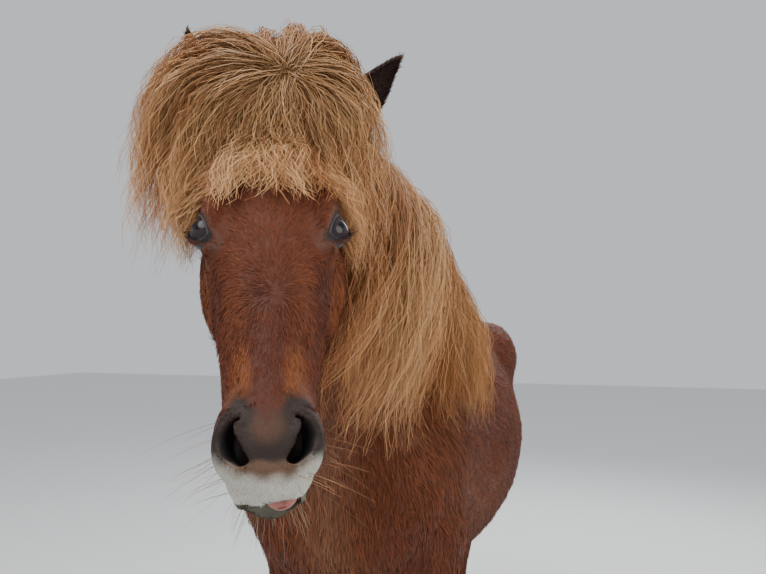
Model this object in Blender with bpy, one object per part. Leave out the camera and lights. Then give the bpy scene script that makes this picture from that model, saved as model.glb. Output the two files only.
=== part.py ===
# A still, life-size model of an Icelandic horse in winter coat, standing with its head turned to its left.
# Metres, +Z up. The horse faces -Y, so its own left side is +X.

import math
import random

import bmesh
import bpy
from mathutils import Matrix, Vector
from mathutils.bvhtree import BVHTree

# Gaps between touching pieces
CUT_GAP = 0.0004
CLEARANCE = 0.0004
EAR_CLEARANCE = 0.0009
HAIR_GAP = 0.001
SAME_POINT = 0.000003

# Resolution of the fused body
TRUNK_VOXEL = 0.008
BODY_VOXEL = 0.005
RING_SIDES = 40
ROWS_BETWEEN = 5
BODY_TRIANGLES = 6800

# The head: where the poll is, and how it is carried
POLL = Vector((0.053, -1.048, 1.566))
HEAD_YAW = math.radians(24.3)
HEAD_PITCH = math.radians(35)
HEAD_ROLL = math.radians(2)

# The trunk: distance along the body, top line, belly line, half width, pinch of the top and of the belly
TRUNK = (
    (-0.755, 1.055, 0.860, 0.100, 0.0, 0.0),
    (-0.722, 1.140, 0.775, 0.190, 0.1, 0.0),
    (-0.640, 1.240, 0.705, 0.232, 0.2, 0.1),
    (-0.500, 1.345, 0.655, 0.246, 0.35, 0.15),
    (-0.340, 1.385, 0.620, 0.252, 0.5, 0.12),
    (-0.200, 1.360, 0.600, 0.268, 0.4, 0.05),
    (-0.050, 1.322, 0.590, 0.288, 0.22, 0.0),
    (0.100, 1.312, 0.592, 0.300, 0.15, 0.0),
    (0.230, 1.325, 0.615, 0.294, 0.18, 0.0),
    (0.360, 1.346, 0.680, 0.272, 0.22, 0.05),
    (0.480, 1.338, 0.780, 0.250, 0.25, 0.1),
    (0.600, 1.290, 0.880, 0.222, 0.2, 0.15),
    (0.690, 1.210, 0.960, 0.170, 0.1, 0.1),
    (0.735, 1.120, 1.020, 0.090, 0.0, 0.0),
)
# The hindquarters stand a little to the horse's right: how far, and between which places along the body
SWAY = (-0.030, -0.05, 0.65)

# The neck: crest point and throat point (distance along the body, height), sideways shift, half width, turn in degrees
NECK = (
    ((-0.330, 1.374), (-0.600, 0.860), 0.000, 0.190, 0),
    ((-0.450, 1.407), (-0.745, 0.985), 0.001, 0.178, 0),
    ((-0.580, 1.452), (-0.820, 1.075), 0.005, 0.156, 2),
    ((-0.740, 1.506), (-0.880, 1.170), 0.014, 0.130, 6),
    ((-0.870, 1.543), (-0.925, 1.250), 0.028, 0.109, 11),
    ((-0.975, 1.560), (-0.985, 1.305), 0.042, 0.095, 16),
)
NECK_PINCH = (0.5, 0.25)

# The head, from the poll down the face: distance, front, back, half width, pinch of the front and of the back
HEAD = (
    (-0.030, -0.020, -0.150, 0.062, 0.1, 0.1),
    (0.000, 0.000, -0.190, 0.082, 0.1, 0.2),
    (0.050, 0.012, -0.225, 0.092, 0.1, 0.25),
    (0.100, 0.018, -0.245, 0.096, 0.08, 0.25),
    (0.150, 0.019, -0.250, 0.098, 0.05, 0.3),
    (0.200, 0.014, -0.242, 0.097, 0.05, 0.35),
    (0.250, 0.006, -0.222, 0.089, 0.1, 0.4),
    (0.300, -0.002, -0.196, 0.078, 0.15, 0.4),
    (0.350, -0.008, -0.172, 0.068, 0.2, 0.35),
    (0.400, -0.013, -0.154, 0.060, 0.2, 0.3),
    (0.450, -0.018, -0.142, 0.055, 0.15, 0.25),
    (0.500, -0.026, -0.138, 0.054, 0.05, 0.2),
    (0.528, -0.040, -0.136, 0.046, 0.0, 0.15),
    (0.550, -0.060, -0.126, 0.036, 0.0, 0.1),
)

# Rounded masses, for the left side: place and half sizes. Those of the head are in its own frame:
# sideways, outward from the face, down the face.
HEAD_MASSES = (
    ((0.056, -0.145, 0.188), (0.052, 0.088, 0.115)),
    ((0.070, -0.045, 0.185), (0.031, 0.050, 0.062)),
    ((0.062, -0.070, 0.285), (0.016, 0.022, 0.066)),
    ((0.040, -0.058, 0.490), (0.021, 0.034, 0.046)),
    ((0.000, -0.070, 0.522), (0.044, 0.034, 0.030)),
    ((0.000, -0.125, 0.518), (0.035, 0.019, 0.036)),
    ((0.088, -0.050, 0.022), (0.036, 0.042, 0.046)),
)
TRUNK_MASSES = (
    ((0.122, -0.460, 1.020), (0.105, 0.140, 0.240)),
    ((0.145, -0.520, 0.900), (0.098, 0.150, 0.170)),
    ((0.095, -0.655, 0.890), (0.095, 0.090, 0.130)),
    ((0.130, 0.550, 1.020), (0.115, 0.175, 0.210)),
    ((0.155, 0.370, 0.870), (0.085, 0.100, 0.130)),
    ((0.165, 0.385, 1.150), (0.108, 0.170, 0.140)),
    ((0.110, 0.530, 1.170), (0.110, 0.150, 0.130)),
)

# Legs, from the top down: height, distance along the body, sideways, half width, half length
FORELEG = (
    (1.000, -0.520, 0.130, 0.095, 0.150),
    (0.880, -0.525, 0.150, 0.096, 0.138),
    (0.780, -0.505, 0.162, 0.082, 0.112),
    (0.700, -0.500, 0.160, 0.068, 0.088),
    (0.600, -0.502, 0.155, 0.056, 0.068),
    (0.510, -0.507, 0.152, 0.047, 0.052),
    (0.450, -0.512, 0.150, 0.048, 0.050),
    (0.400, -0.508, 0.149, 0.043, 0.046),
    (0.340, -0.503, 0.148, 0.034, 0.040),
    (0.260, -0.500, 0.148, 0.033, 0.039),
    (0.200, -0.500, 0.148, 0.040, 0.047),
    (0.150, -0.515, 0.148, 0.037, 0.041),
    (0.110, -0.533, 0.148, 0.040, 0.043),
    (0.070, -0.550, 0.148, 0.051, 0.056),
)
HINDLEG = (
    (1.120, 0.520, 0.120, 0.100, 0.190),
    (1.000, 0.505, 0.134, 0.112, 0.205),
    (0.880, 0.495, 0.140, 0.110, 0.195),
    (0.780, 0.515, 0.140, 0.090, 0.148),
    (0.690, 0.558, 0.137, 0.070, 0.106),
    (0.600, 0.612, 0.134, 0.054, 0.076),
    (0.530, 0.650, 0.132, 0.047, 0.068),
    (0.470, 0.662, 0.130, 0.044, 0.057),
    (0.400, 0.658, 0.130, 0.036, 0.046),
    (0.300, 0.650, 0.130, 0.035, 0.042),
    (0.205, 0.645, 0.130, 0.041, 0.049),
    (0.150, 0.628, 0.130, 0.038, 0.042),
    (0.110, 0.612, 0.130, 0.040, 0.043),
    (0.070, 0.595, 0.130, 0.050, 0.055),
)
# Where each foot stands, from its place in the tables above: sideways and along. The leg leans over this range of height
FOOT = {
    "foreleg_left": (0.000, -0.035),
    "foreleg_right": (0.000, 0.025),
    "hindleg_left": (-0.085, -0.190),
    "hindleg_right": (-0.020, 0.010),
}
LEAN = (0.36, 0.95)
LEGS = (
    ("foreleg_left", "hoof_fore_left", FORELEG, 1),
    ("foreleg_right", "hoof_fore_right", FORELEG, -1),
    ("hindleg_left", "hoof_hind_left", HINDLEG, 1),
    ("hindleg_right", "hoof_hind_right", HINDLEG, -1),
)
# A hoof, from the coronet down: height, distance ahead of the leg, half width, half length
HOOF_TOP = 0.078
HOOF = (
    (HOOF_TOP, -0.004, 0.045, 0.050),
    (0.050, 0.008, 0.050, 0.056),
    (0.022, 0.019, 0.055, 0.062),
    (0.000, 0.028, 0.059, 0.066),
)

# The planes that part the head from the neck (in the head's frame) and the neck from the trunk: a point and a normal
HEAD_CUT = ((0, -0.155, 0.045), (0.0, 0.72, 0.69))
NECK_CUT = ((0, -0.590, 1.205), (0.0, -0.77, 0.638))
# The blocks that part the legs from the trunk: their outline from the front (sideways, height) or from the side
# (distance along, height), and their reach
FORE_BLOCK = ((0.040, -0.1), (0.040, 0.69), (0.300, 0.86), (0.6, 0.86), (0.6, -0.1))
FORE_REACH = (-0.82, -0.31)
HIND_BLOCK = ((0.18, -0.1), (0.18, 0.72), (0.90, 1.02), (0.90, -0.1))
HIND_INNER = {1: (0.010, -0.100), -1: (-0.070, -0.104)}

# The eyes, in the head's frame for the left side: centre, radius, the way they look, and their opening
EYE = Vector((0.080, -0.043, 0.198))
EYE_RADIUS = 0.020
EYE_AXIS = Vector((0.87, 0.45, -0.10))
EYE_LENGTH_AXIS = Vector((0.05, -0.30, 0.95))
EYE_OPENING = (0.019, 0.0115, 0.030)
LID_BULGE = 0.0265

# Nostrils and mouth, in the head's frame
NOSTRIL = Vector((0.036, -0.030, 0.501))
NOSTRIL_AXIS = Vector((0.40, 0.78, 0.48))
NOSTRIL_LENGTH_AXIS = Vector((0.38, 0.53, -0.76))
NOSTRIL_SIZE = (0.0125, 0.028, 0.022)
MOUTH_SLIT = ((0.0, -0.106, 0.520), (0.060, 0.0022, 0.055))
MOUTH_OPENING = ((0.010, -0.1050, 0.545), (0.032, 0.0085, 0.040))
TONGUE = ((0.012, -0.1105, 0.530), (0.020, 0.0055, 0.025))

# An ear, from its base up: height, half width, half depth, and how far it curves towards its opening
EAR = (
    (-0.030, 0.016, 0.016, 0.000),
    (0.000, 0.024, 0.023, 0.000),
    (0.028, 0.031, 0.026, -0.001),
    (0.062, 0.033, 0.023, -0.002),
    (0.098, 0.027, 0.017, 0.001),
    (0.132, 0.016, 0.010, 0.006),
    (0.156, 0.007, 0.005, 0.012),
    (0.165, 0.002, 0.002, 0.015),
)
EAR_HOLLOW = (
    (0.014, 0.010, 0.010, 0.010),
    (0.030, 0.020, 0.018, 0.013),
    (0.062, 0.027, 0.018, 0.012),
    (0.098, 0.022, 0.014, 0.013),
    (0.130, 0.011, 0.009, 0.014),
    (0.151, 0.002, 0.003, 0.017),
)
# Each ear in the head's frame: base, the way it points, the way it opens
EARS = {
    "ear_left": ((0.103, -0.045, -0.010), (0.60, 0.44, -0.72), (0.50, 0.62, 0.55)),
    "ear_right": ((-0.110, -0.045, -0.010), (-0.04, 0.50, -0.86), (-0.55, 0.70, 0.45)),
}

# Hair. A path leaves its root, droops by this much a step, and keeps its distance from the body
DROOP = 0.46
PULL = 0.22
PATH_STEPS = 15
LOCK_SEGMENTS = 5
HAIR_CLEAR = 0.007
HEAD_TRIANGLES = 6150
NECK_TRIANGLES = 2750
ROOT_WIDTH = 0.30
HAIR_SEED = 16
CORE_VOXEL = 0.012
CORE_TRIANGLES = 320

# The mane: root line along the crest, and for each layer from the inside out: count of locks, distance from the body,
# lengths, half width and thickness of a lock. The distance and the length have one value at the withers and one by
# the poll
MANE_ROOTS = ((-0.345, 1.378), (-0.450, 1.407), (-0.580, 1.452), (-0.740, 1.506), (-0.870, 1.543), (-0.990, 1.562))
MANE_SHIFT = (0.000, 0.001, 0.005, 0.014, 0.028, 0.042)
MANE_CORE = ((0.026, 0.026), (0.20, 0.28))
MANE_LAYERS = (
    (9, (0.060, 0.048), (0.44, 0.60), 0.041, 0.016),
    (9, (0.112, 0.082), (0.46, 0.62), 0.042, 0.020),
)
# The forelock, in the same way. Each layer spreads to this angle on both sides of the face
FORELOCK_CORE = (0.028, 0.17)
FORELOCK_LAYERS = (
    (8, 106, 0.048, 0.37, 0.038, 0.014),
    (10, 103, 0.076, 0.43, 0.032, 0.016),
)
FORELOCK_RISE = 2.3
FORELOCK_NARROW = 0.55
# Hair stays this far from the cut between head and neck
PARTING = 0.012

# The tail, from the dock down: height, distance along the body, half width, half length
TAIL_CORE = (
    (1.235, 0.640, 0.030, 0.020),
    (1.218, 0.705, 0.036, 0.034),
    (1.170, 0.762, 0.038, 0.034),
    (1.080, 0.796, 0.042, 0.034),
    (0.950, 0.806, 0.048, 0.036),
    (0.800, 0.810, 0.040, 0.030),
    (0.700, 0.810, 0.016, 0.014),
)
# Its outline with the hair, and its locks: count, height of the root, height of the tip, half width, thickness
TAIL_HAIR = (
    (1.190, 0.752, 0.026, 0.022),
    (1.080, 0.794, 0.046, 0.036),
    (0.950, 0.808, 0.064, 0.044),
    (0.750, 0.812, 0.080, 0.050),
    (0.550, 0.808, 0.078, 0.046),
    (0.400, 0.800, 0.058, 0.036),
    (0.240, 0.792, 0.026, 0.020),
)
TAIL_LAYERS = (
    (7, 1.130, 0.360, 0.029, 0.015),
    (6, 1.000, 0.250, 0.034, 0.016),
)
TAIL_LEAN = -0.035

# Colour and roughness of each piece
COAT, HAIR, DARK, HORN = (0.155, 0.045, 0.020), (0.450, 0.240, 0.100), (0.045, 0.022, 0.016), (0.120, 0.095, 0.075)
COLOURS = {
    "torso": (COAT, 0.80),
    "neck": (COAT, 0.80),
    "head": (COAT, 0.80),
    "tail": (HAIR, 0.75),
    "tongue": ((0.500, 0.200, 0.180), 0.35),
    "ear_left": (DARK, 0.85),
    "ear_right": (DARK, 0.85),
    "eye_left": ((0.010, 0.010, 0.015), 0.05),
    "eye_right": ((0.010, 0.010, 0.015), 0.05),
}
COLOURS |= {name: (COAT, 0.80) for name, _, _, _ in LEGS}
COLOURS |= {name: (HORN, 0.50) for _, name, _, _ in LEGS}


def empty_scene():
    for obj in list(bpy.data.objects):
        bpy.data.objects.remove(obj)


def step_between(low, high, value):
    t = min(max((value - low) / (high - low), 0), 1)
    return t * t * (3 - 2 * t)


def mix(a, b, t):
    return a + (b - a) * t


def between(rows, steps):
    """Rows of numbers with smooth rows put in between, on a Catmull-Rom curve through them."""
    flat = []
    for i in range(len(rows) - 1):
        before = rows[max(i - 1, 0)]
        after = rows[min(i + 2, len(rows) - 1)]
        for step in range(steps):
            t = step / steps
            row = []
            for a, b, c, d in zip(before, rows[i], rows[i + 1], after):
                bend = (2 * a - 5 * b + 4 * c - d) * t * t + (3 * b - a - 3 * c + d) * t**3
                row.append(b + 0.5 * ((c - a) * t + bend))
            flat.append(tuple(row))
    return flat + [tuple(rows[-1])]


def ring_point(ring, angle):
    """A point on a body section: an oval that may narrow towards its top and its bottom."""
    centre, side, up, down, pinch_up, pinch_down = ring
    across, along = math.cos(angle), math.sin(angle)
    if along > 0:
        return centre + side * across * (1 - pinch_up * along) + up * along
    return centre + side * across * (1 + pinch_down * along) - down * along


def tube(mesh, rings, sides=RING_SIDES):
    """A closed tube through the rings, from a grid that is rolled up."""
    last = len(rings) - 1
    grid = bmesh.ops.create_grid(mesh, x_segments=sides, y_segments=last, size=1)
    for vert in grid["verts"]:
        ring = rings[round((vert.co.y + 1) / 2 * last)]
        vert.co = ring_point(ring, (vert.co.x + 1) * math.pi)
    bmesh.ops.remove_doubles(mesh, verts=grid["verts"], dist=1e-6)
    rims = [edge for edge in mesh.edges if edge.is_boundary]
    bmesh.ops.holes_fill(mesh, edges=rims, sides=0)


def ellipsoid(mesh, matrix, sizes, detail=4):
    shape = matrix @ Matrix.Diagonal((*sizes, 1))
    bmesh.ops.create_icosphere(mesh, subdivisions=detail, radius=1, matrix=shape)


def axes_at(place, depth, length):
    """A frame at a place whose third axis is depth and whose second axis is as near to length as can be."""
    third = depth.normalized()
    first = length.cross(third).normalized()
    return Matrix.Translation(place) @ Matrix((first, third.cross(first), third)).transposed().to_4x4()


def mirrored(vector, side):
    return Vector((side * vector[0], vector[1], vector[2]))


def head_frame():
    """Places a point given as (to the horse's left, outward from the face, down the face)."""
    ahead = Vector((math.sin(HEAD_YAW), -math.cos(HEAD_YAW), 0))
    left = Vector((math.cos(HEAD_YAW), math.sin(HEAD_YAW), 0))
    down_face = ahead * math.sin(HEAD_PITCH) + Vector((0, 0, -math.cos(HEAD_PITCH)))
    outward = ahead * math.cos(HEAD_PITCH) + Vector((0, 0, math.sin(HEAD_PITCH)))
    axes = Matrix((left, outward, down_face)).transposed()
    roll = Matrix.Rotation(HEAD_ROLL, 3, outward)
    return Matrix.Translation(POLL) @ (roll @ axes).to_4x4()


def sway(y):
    far, start, end = SWAY
    return far * step_between(start, end, y)


def trunk_rings():
    rings = []
    for y, top, bottom, width, pinch_up, pinch_down in between(TRUNK, ROWS_BETWEEN):
        middle = bottom + (top - bottom) * 0.48
        centre = Vector((sway(y), y, middle))
        up, down = Vector((0, 0, top - middle)), Vector((0, 0, bottom - middle))
        rings.append((centre, Vector((width, 0, 0)), up, down, pinch_up, pinch_down))
    return rings


def neck_rings():
    rows = [(*crest, *throat, shift, width, turn) for crest, throat, shift, width, turn in NECK]
    rings = []
    for crest_y, crest_z, throat_y, throat_z, shift, width, turn in between(rows, ROWS_BETWEEN):
        crest, throat = Vector((shift, crest_y, crest_z)), Vector((shift, throat_y, throat_z))
        centre = throat.lerp(crest, 0.45)
        side = Matrix.Rotation(math.radians(turn), 3, "Z") @ Vector((width, 0, 0))
        rings.append((centre, side, crest - centre, throat - centre, *NECK_PINCH))
    return rings


def head_rings(place):
    axes = place.to_3x3()
    rings = []
    for down_face, front, back, width, pinch_up, pinch_down in between(HEAD, ROWS_BETWEEN):
        middle = back + (front - back) * 0.58
        centre = place @ Vector((0, middle, down_face))
        side = axes @ Vector((width, 0, 0))
        up, down = axes @ Vector((0, front - middle, 0)), axes @ Vector((0, back - middle, 0))
        rings.append((centre, side, up, down, pinch_up, pinch_down))
    return rings


def leg_rings(name, rows, side):
    """The joint with the trunk stays in place, and the foot moves to where it stands."""
    shift_x, shift_y = FOOT[name]
    rings = []
    for z, y, x, width, length in between(rows, ROWS_BETWEEN):
        share = 1 - step_between(*LEAN, z)
        centre = Vector((side * x + sway(y) + shift_x * share, y + shift_y * share, z))
        across, along = Vector((width, 0, 0)), Vector((0, length, 0))
        rings.append((centre, across, along, -along, 0.0, 0.0))
    return rings


def new_object(name, mesh_maker):
    mesh = bmesh.new()
    mesh_maker(mesh)
    bmesh.ops.recalc_face_normals(mesh, faces=mesh.faces)
    data = bpy.data.meshes.new(name)
    mesh.to_mesh(data)
    mesh.free()
    obj = bpy.data.objects.new(name, data)
    bpy.context.scene.collection.objects.link(obj)
    return obj


def copy_of(obj, name):
    twin = bpy.data.objects.new(name, obj.data.copy())
    bpy.context.scene.collection.objects.link(twin)
    return twin


def remove(*objects):
    for obj in objects:
        bpy.data.objects.remove(obj)


def apply_modifiers(obj):
    """The object keeps the shape that its modifiers give it."""
    graph = bpy.context.evaluated_depsgraph_get()
    obj.data = bpy.data.meshes.new_from_object(obj.evaluated_get(graph))
    obj.modifiers.clear()
    return obj


def fuse(obj, voxel):
    remesh = obj.modifiers.new("fuse", "REMESH")
    remesh.mode = "VOXEL"
    remesh.voxel_size = voxel
    return apply_modifiers(obj)


def soften(obj, rounds, weight=None):
    """Smooths the surface. weight gives each point's share of it."""
    smooth = obj.modifiers.new("soften", "SMOOTH")
    smooth.factor = 0.5
    smooth.iterations = rounds
    if weight:
        group = obj.vertex_groups.new(name="soft")
        for vert in obj.data.vertices:
            group.add([vert.index], weight(vert.co), "REPLACE")
        smooth.vertex_group = "soft"
    apply_modifiers(obj)
    obj.vertex_groups.clear()
    return obj


def lighten(obj, triangles, weight=None):
    """Fewer triangles. A point with a greater weight gives up more of them."""
    reduce = obj.modifiers.new("lighten", "DECIMATE")
    reduce.ratio = min(triangles / sum(face.loop_total - 2 for face in obj.data.polygons), 1)
    if weight:
        group = obj.vertex_groups.new(name="light")
        for vert in obj.data.vertices:
            group.add([vert.index], weight(vert.co), "REPLACE")
        reduce.vertex_group = "light"
        reduce.vertex_group_factor = 1
    apply_modifiers(obj)
    obj.vertex_groups.clear()
    return obj


def combine(obj, other, operation="DIFFERENCE", solver="EXACT"):
    boolean = obj.modifiers.new("combine", "BOOLEAN")
    boolean.operation = operation
    boolean.solver = solver
    boolean.object = other
    return apply_modifiers(obj)


def grown(obj, amount):
    """A copy whose surface lies further out by the amount."""
    twin = copy_of(obj, obj.name + "_grown")
    places = [vert.co + vert.normal * amount for vert in twin.data.vertices]
    for vert, place in zip(twin.data.vertices, places):
        vert.co = place
    return twin


def make_room(obj, *guests, clearance=CLEARANCE, solver="EXACT"):
    """Cuts the room for each guest out of the object."""
    for guest in guests:
        cutter = grown(guest, clearance)
        combine(obj, cutter, solver=solver)
        remove(cutter)


def part_shared_edges(mesh):
    """Where more than two faces meet at an edge, the two that lie in one plane get a point of their own."""
    for edge in [edge for edge in mesh.edges if len(edge.link_faces) > 2]:
        ahead = [loop.face for loop in edge.link_loops if loop.vert == edge.verts[0]]
        back = [loop.face for loop in edge.link_loops if loop.vert == edge.verts[1]]
        pairs = [(a, b) for a in ahead for b in back]
        flat = max(pairs, key=lambda pair: pair[0].normal.dot(pair[1].normal))
        corners = {vert for face in flat for vert in face.verts}
        middle = sum((vert.co for vert in corners), Vector()) / len(corners)
        centre = mesh.verts.new((edge.verts[0].co + edge.verts[1].co).lerp(2 * middle, 0.2) / 2)
        for face in flat:
            loops = [face.verts[:], face.verts[1:] + face.verts[:1], face.verts[2:] + face.verts[:2]]
            sides = [(verts[0], verts[1]) for verts in loops if {verts[0], verts[1]} != set(edge.verts)]
            bmesh.ops.delete(mesh, geom=[face], context="FACES_ONLY")
            for start, end in sides:
                mesh.faces.new((start, end, centre))


def part_near_points(mesh):
    """Points that all but touch are drawn a little apart, each towards its neighbours."""
    close = bmesh.ops.find_doubles(mesh, verts=mesh.verts, dist=SAME_POINT)["targetmap"]
    for vert in sorted({vert for pair in close.items() for vert in pair}, key=lambda vert: vert.index):
        neighbours = [edge.other_vert(vert).co for edge in vert.link_edges]
        vert.co = vert.co.lerp(sum(neighbours, Vector()) / len(neighbours), 0.004)


def largest_piece(obj, same_point=0.0):
    """Keeps the largest closed surface of the object. Points as near as same_point are made one."""
    mesh = bmesh.new()
    mesh.from_mesh(obj.data)
    bmesh.ops.triangulate(mesh, faces=mesh.faces)
    if same_point:
        bmesh.ops.remove_doubles(mesh, verts=mesh.verts, dist=same_point)
    part_shared_edges(mesh)
    part_near_points(mesh)
    unseen, pieces = set(mesh.faces), []
    while unseen:
        piece, waiting = [], [unseen.pop()]
        while waiting:
            face = waiting.pop()
            piece.append(face)
            for other in {near for edge in face.edges for near in edge.link_faces} & unseen:
                unseen.remove(other)
                waiting.append(other)
        pieces.append(piece)
    pieces.sort(key=len)
    bmesh.ops.delete(mesh, geom=[face for piece in pieces[:-1] for face in piece], context="FACES")
    mesh.to_mesh(obj.data)
    mesh.free()
    return obj


def block(name, corners):
    def shape(mesh):
        for corner in corners:
            mesh.verts.new(corner)
        hull = bmesh.ops.convex_hull(mesh, input=mesh.verts)
        bmesh.ops.delete(mesh, geom=hull["geom_interior"], context="VERTS")

    return new_object(name, shape)


def hull_of(obj):
    return block(obj.name + "_hull", [vert.co for vert in obj.data.vertices])


def half_space(name, point, normal, size=3):
    """A large block with one face through the point. The block lies on the side that the normal points to."""
    place = axes_at(point, normal, Vector((0.1, 0.2, 1)))
    corners = [place @ Vector((x, y, z)) for x in (-size, size) for y in (-size, size) for z in (0, size)]
    return block(name, corners)


def split(obj, name, near, far):
    """Parts the object: the piece inside near gets the name, and the rest loses all that is inside far."""
    piece = copy_of(obj, name)
    combine(piece, near, "INTERSECT")
    combine(obj, far)
    return piece


def body_form(place):
    """Trunk, neck, legs and head as one closed surface."""

    def trunk(mesh):
        tube(mesh, trunk_rings())
        tube(mesh, neck_rings())
        for name, _, rows, side in LEGS:
            tube(mesh, leg_rings(name, rows, side))
        for (x, y, z), sizes in TRUNK_MASSES:
            for side in (1, -1):
                ellipsoid(mesh, Matrix.Translation((side * x + sway(y), y, z)), sizes)

    body = fuse(new_object("body", trunk), TRUNK_VOXEL)
    soften(body, 110, lambda co: 0.08 + 0.92 * step_between(0.62, 0.86, co.z))

    def with_head(mesh):
        mesh.from_mesh(body.data)
        tube(mesh, head_rings(place))
        for (x, y, z), sizes in HEAD_MASSES:
            for side in (1, -1) if x else (1,):
                ellipsoid(mesh, place @ Matrix.Translation((side * x, y, z)), sizes)
        for side in (1, -1):
            centre = mirrored(EYE + EYE_AXIS.normalized() * 0.002, side)
            ellipsoid(mesh, place @ Matrix.Translation(centre), (LID_BULGE,) * 3)

    whole = fuse(new_object("whole", with_head), BODY_VOXEL)
    remove(body)
    return soften(whole, 7)


def eye(name, place, side):
    centre = place @ mirrored(EYE, side)
    return new_object(name, lambda mesh: ellipsoid(mesh, Matrix.Translation(centre), (EYE_RADIUS,) * 3, 3))


def face_openings(place):
    """The openings of lids, nostrils and mouth, as one cutter each."""
    cutters = []

    def add(frame, sizes, detail=3):
        cutters.append(new_object("opening", lambda mesh: ellipsoid(mesh, frame, sizes, detail)))

    for side in (1, -1):
        axis = mirrored(EYE_AXIS, side).normalized()
        lens = axes_at(mirrored(EYE, side) + axis * 0.022, axis, mirrored(EYE_LENGTH_AXIS, side))
        add(place @ lens, (EYE_OPENING[1], EYE_OPENING[0], EYE_OPENING[2]))
        nostril = axes_at(mirrored(NOSTRIL, side), mirrored(NOSTRIL_AXIS, side), mirrored(NOSTRIL_LENGTH_AXIS, side))
        add(place @ nostril, NOSTRIL_SIZE)
    for centre, sizes in (MOUTH_SLIT, MOUTH_OPENING):
        add(place @ Matrix.Translation(centre), sizes, 2)
    return cutters


def ear(name, place, base, axis, opening):
    """A leaf-shaped cup."""
    frame = place @ axes_at(Vector(base), Vector(axis), Vector(opening))

    def loft(rows):
        rings = []
        for height, width, depth, lean in rows:
            centre = frame @ Vector((0, lean, height))
            turn = frame.to_3x3()
            across, along = turn @ Vector((width, 0, 0)), turn @ Vector((0, depth, 0))
            rings.append((centre, across, along, -along, 0.0, 0.0))
        return rings

    cup = new_object(name, lambda mesh: tube(mesh, loft(EAR), 12))
    hollow = new_object("hollow", lambda mesh: tube(mesh, loft(EAR_HOLLOW), 10))
    combine(cup, hollow)
    remove(hollow)
    return largest_piece(cup, SAME_POINT)


def hoof(name, leg, rows, side):
    foot = leg_rings(leg, rows, side)[-1][0]
    rings = []
    for height, ahead, width, length in HOOF:
        along = Vector((0, length, 0))
        centre = Vector((foot.x, foot.y - ahead, height))
        rings.append((centre, Vector((width, 0, 0)), along, -along, 0.0, 0.0))
    return new_object(name, lambda mesh: tube(mesh, rings, 18))


def kept_beside(wall, point):
    """The point moved along a wall's normal until it is on the normal's side, past the parting."""
    if wall is None:
        return point
    place, normal = wall
    short = PARTING - (point - place).dot(normal)
    return point + normal * max(short, 0)


def hang(tree, start, heading, length, stand_off, wall=None):
    """The path of a strand: it leaves along the heading, droops, and keeps its distance from the body."""
    points, speed = [start], heading.normalized()
    for i in range(1, PATH_STEPS + 1):
        share = i / PATH_STEPS
        speed = (speed + Vector((0, 0, -DROOP * min(share * 3, 1)))).normalized()
        point = points[-1] + speed * (length / PATH_STEPS)
        near, normal, _, _ = tree.find_nearest(point)
        wanted = stand_off * min(share * 3, 1) * mix(1, 0.45, step_between(0.5, 1, share))
        height = (point - near).dot(normal)
        if height < wanted:
            point = near + normal * wanted
        elif share > 0.4:
            point -= normal * (height - wanted) * PULL
        point = kept_beside(wall, point)
        points.append(point)
        speed = (points[-1] - points[-2]).normalized()
    return points


def slab(mesh, outer, inner):
    """A closed sheet between two nets of points."""
    nets = [[[mesh.verts.new(point) for point in path] for path in net] for net in (outer, inner)]
    last_u, last_v = len(outer) - 1, len(outer[0]) - 1
    for net in nets:
        for u in range(last_u):
            for v in range(last_v):
                mesh.faces.new((net[u][v], net[u + 1][v], net[u + 1][v + 1], net[u][v + 1]))
    rim = [(u, 0) for u in range(last_u)] + [(last_u, v) for v in range(last_v)]
    rim += [(u, last_v) for u in range(last_u, 0, -1)] + [(0, v) for v in range(last_v, 0, -1)]
    for (u, v), (next_u, next_v) in zip(rim, rim[1:] + rim[:1]):
        corners = (nets[0][u][v], nets[0][next_u][next_v], nets[1][next_u][next_v], nets[1][u][v])
        mesh.faces.new(corners)


def along_rows(rows, share):
    """A point at the given share of the way along a list of points."""
    place = min(max(share, 0), 1) * (len(rows) - 1)
    low = min(int(place), len(rows) - 2)
    return [mix(a, b, place - low) for a, b in zip(rows[low], rows[low + 1])]


def mane_path(tree, share, stand_off, length, wall):
    """A strand of the mane, from the withers (share 0) to the poll (share 1), on the horse's left."""
    y, z = along_rows(MANE_ROOTS, share)
    (x,) = along_rows([(shift,) for shift in MANE_SHIFT], share)
    heading = Vector((0.75, mix(0.05, -0.10, share), mix(0.75, 0.45, share)))
    return hang(tree, Vector((x, y, z - 0.014)), heading, length, stand_off, wall)


def forelock_path(tree, place, angle, stand_off, length, wall):
    """A strand of the forelock. Angle 0 falls down the middle of the face, and a positive one to the horse's left."""
    face = place.to_3x3()
    outward = (face @ Vector((math.sin(angle), math.cos(angle) * 0.8, math.cos(angle) * 0.2))).normalized()
    narrow = mix(1, FORELOCK_NARROW, math.sin(angle) ** 2)
    heading = outward * narrow + Vector((0, 0, FORELOCK_RISE))
    root = place @ Vector((0.050 * math.sin(angle), -0.034 + 0.018 * math.cos(angle), -0.008))
    return hang(tree, root, heading, length, stand_off * mix(1, 0.8, math.sin(angle) ** 2), wall)


def core(name, tree, paths, depth=0.006):
    """A plain body of hair below the locks, which reaches at most half way to their tips."""
    inner = []
    for path in paths:
        row = []
        for point in path:
            near, normal, _, _ = tree.find_nearest(point)
            row.append(near - normal * depth)
        inner.append(row)
    return lighten(fuse(new_object(name, lambda mesh: slab(mesh, paths, inner)), CORE_VOXEL), CORE_TRIANGLES)


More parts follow.
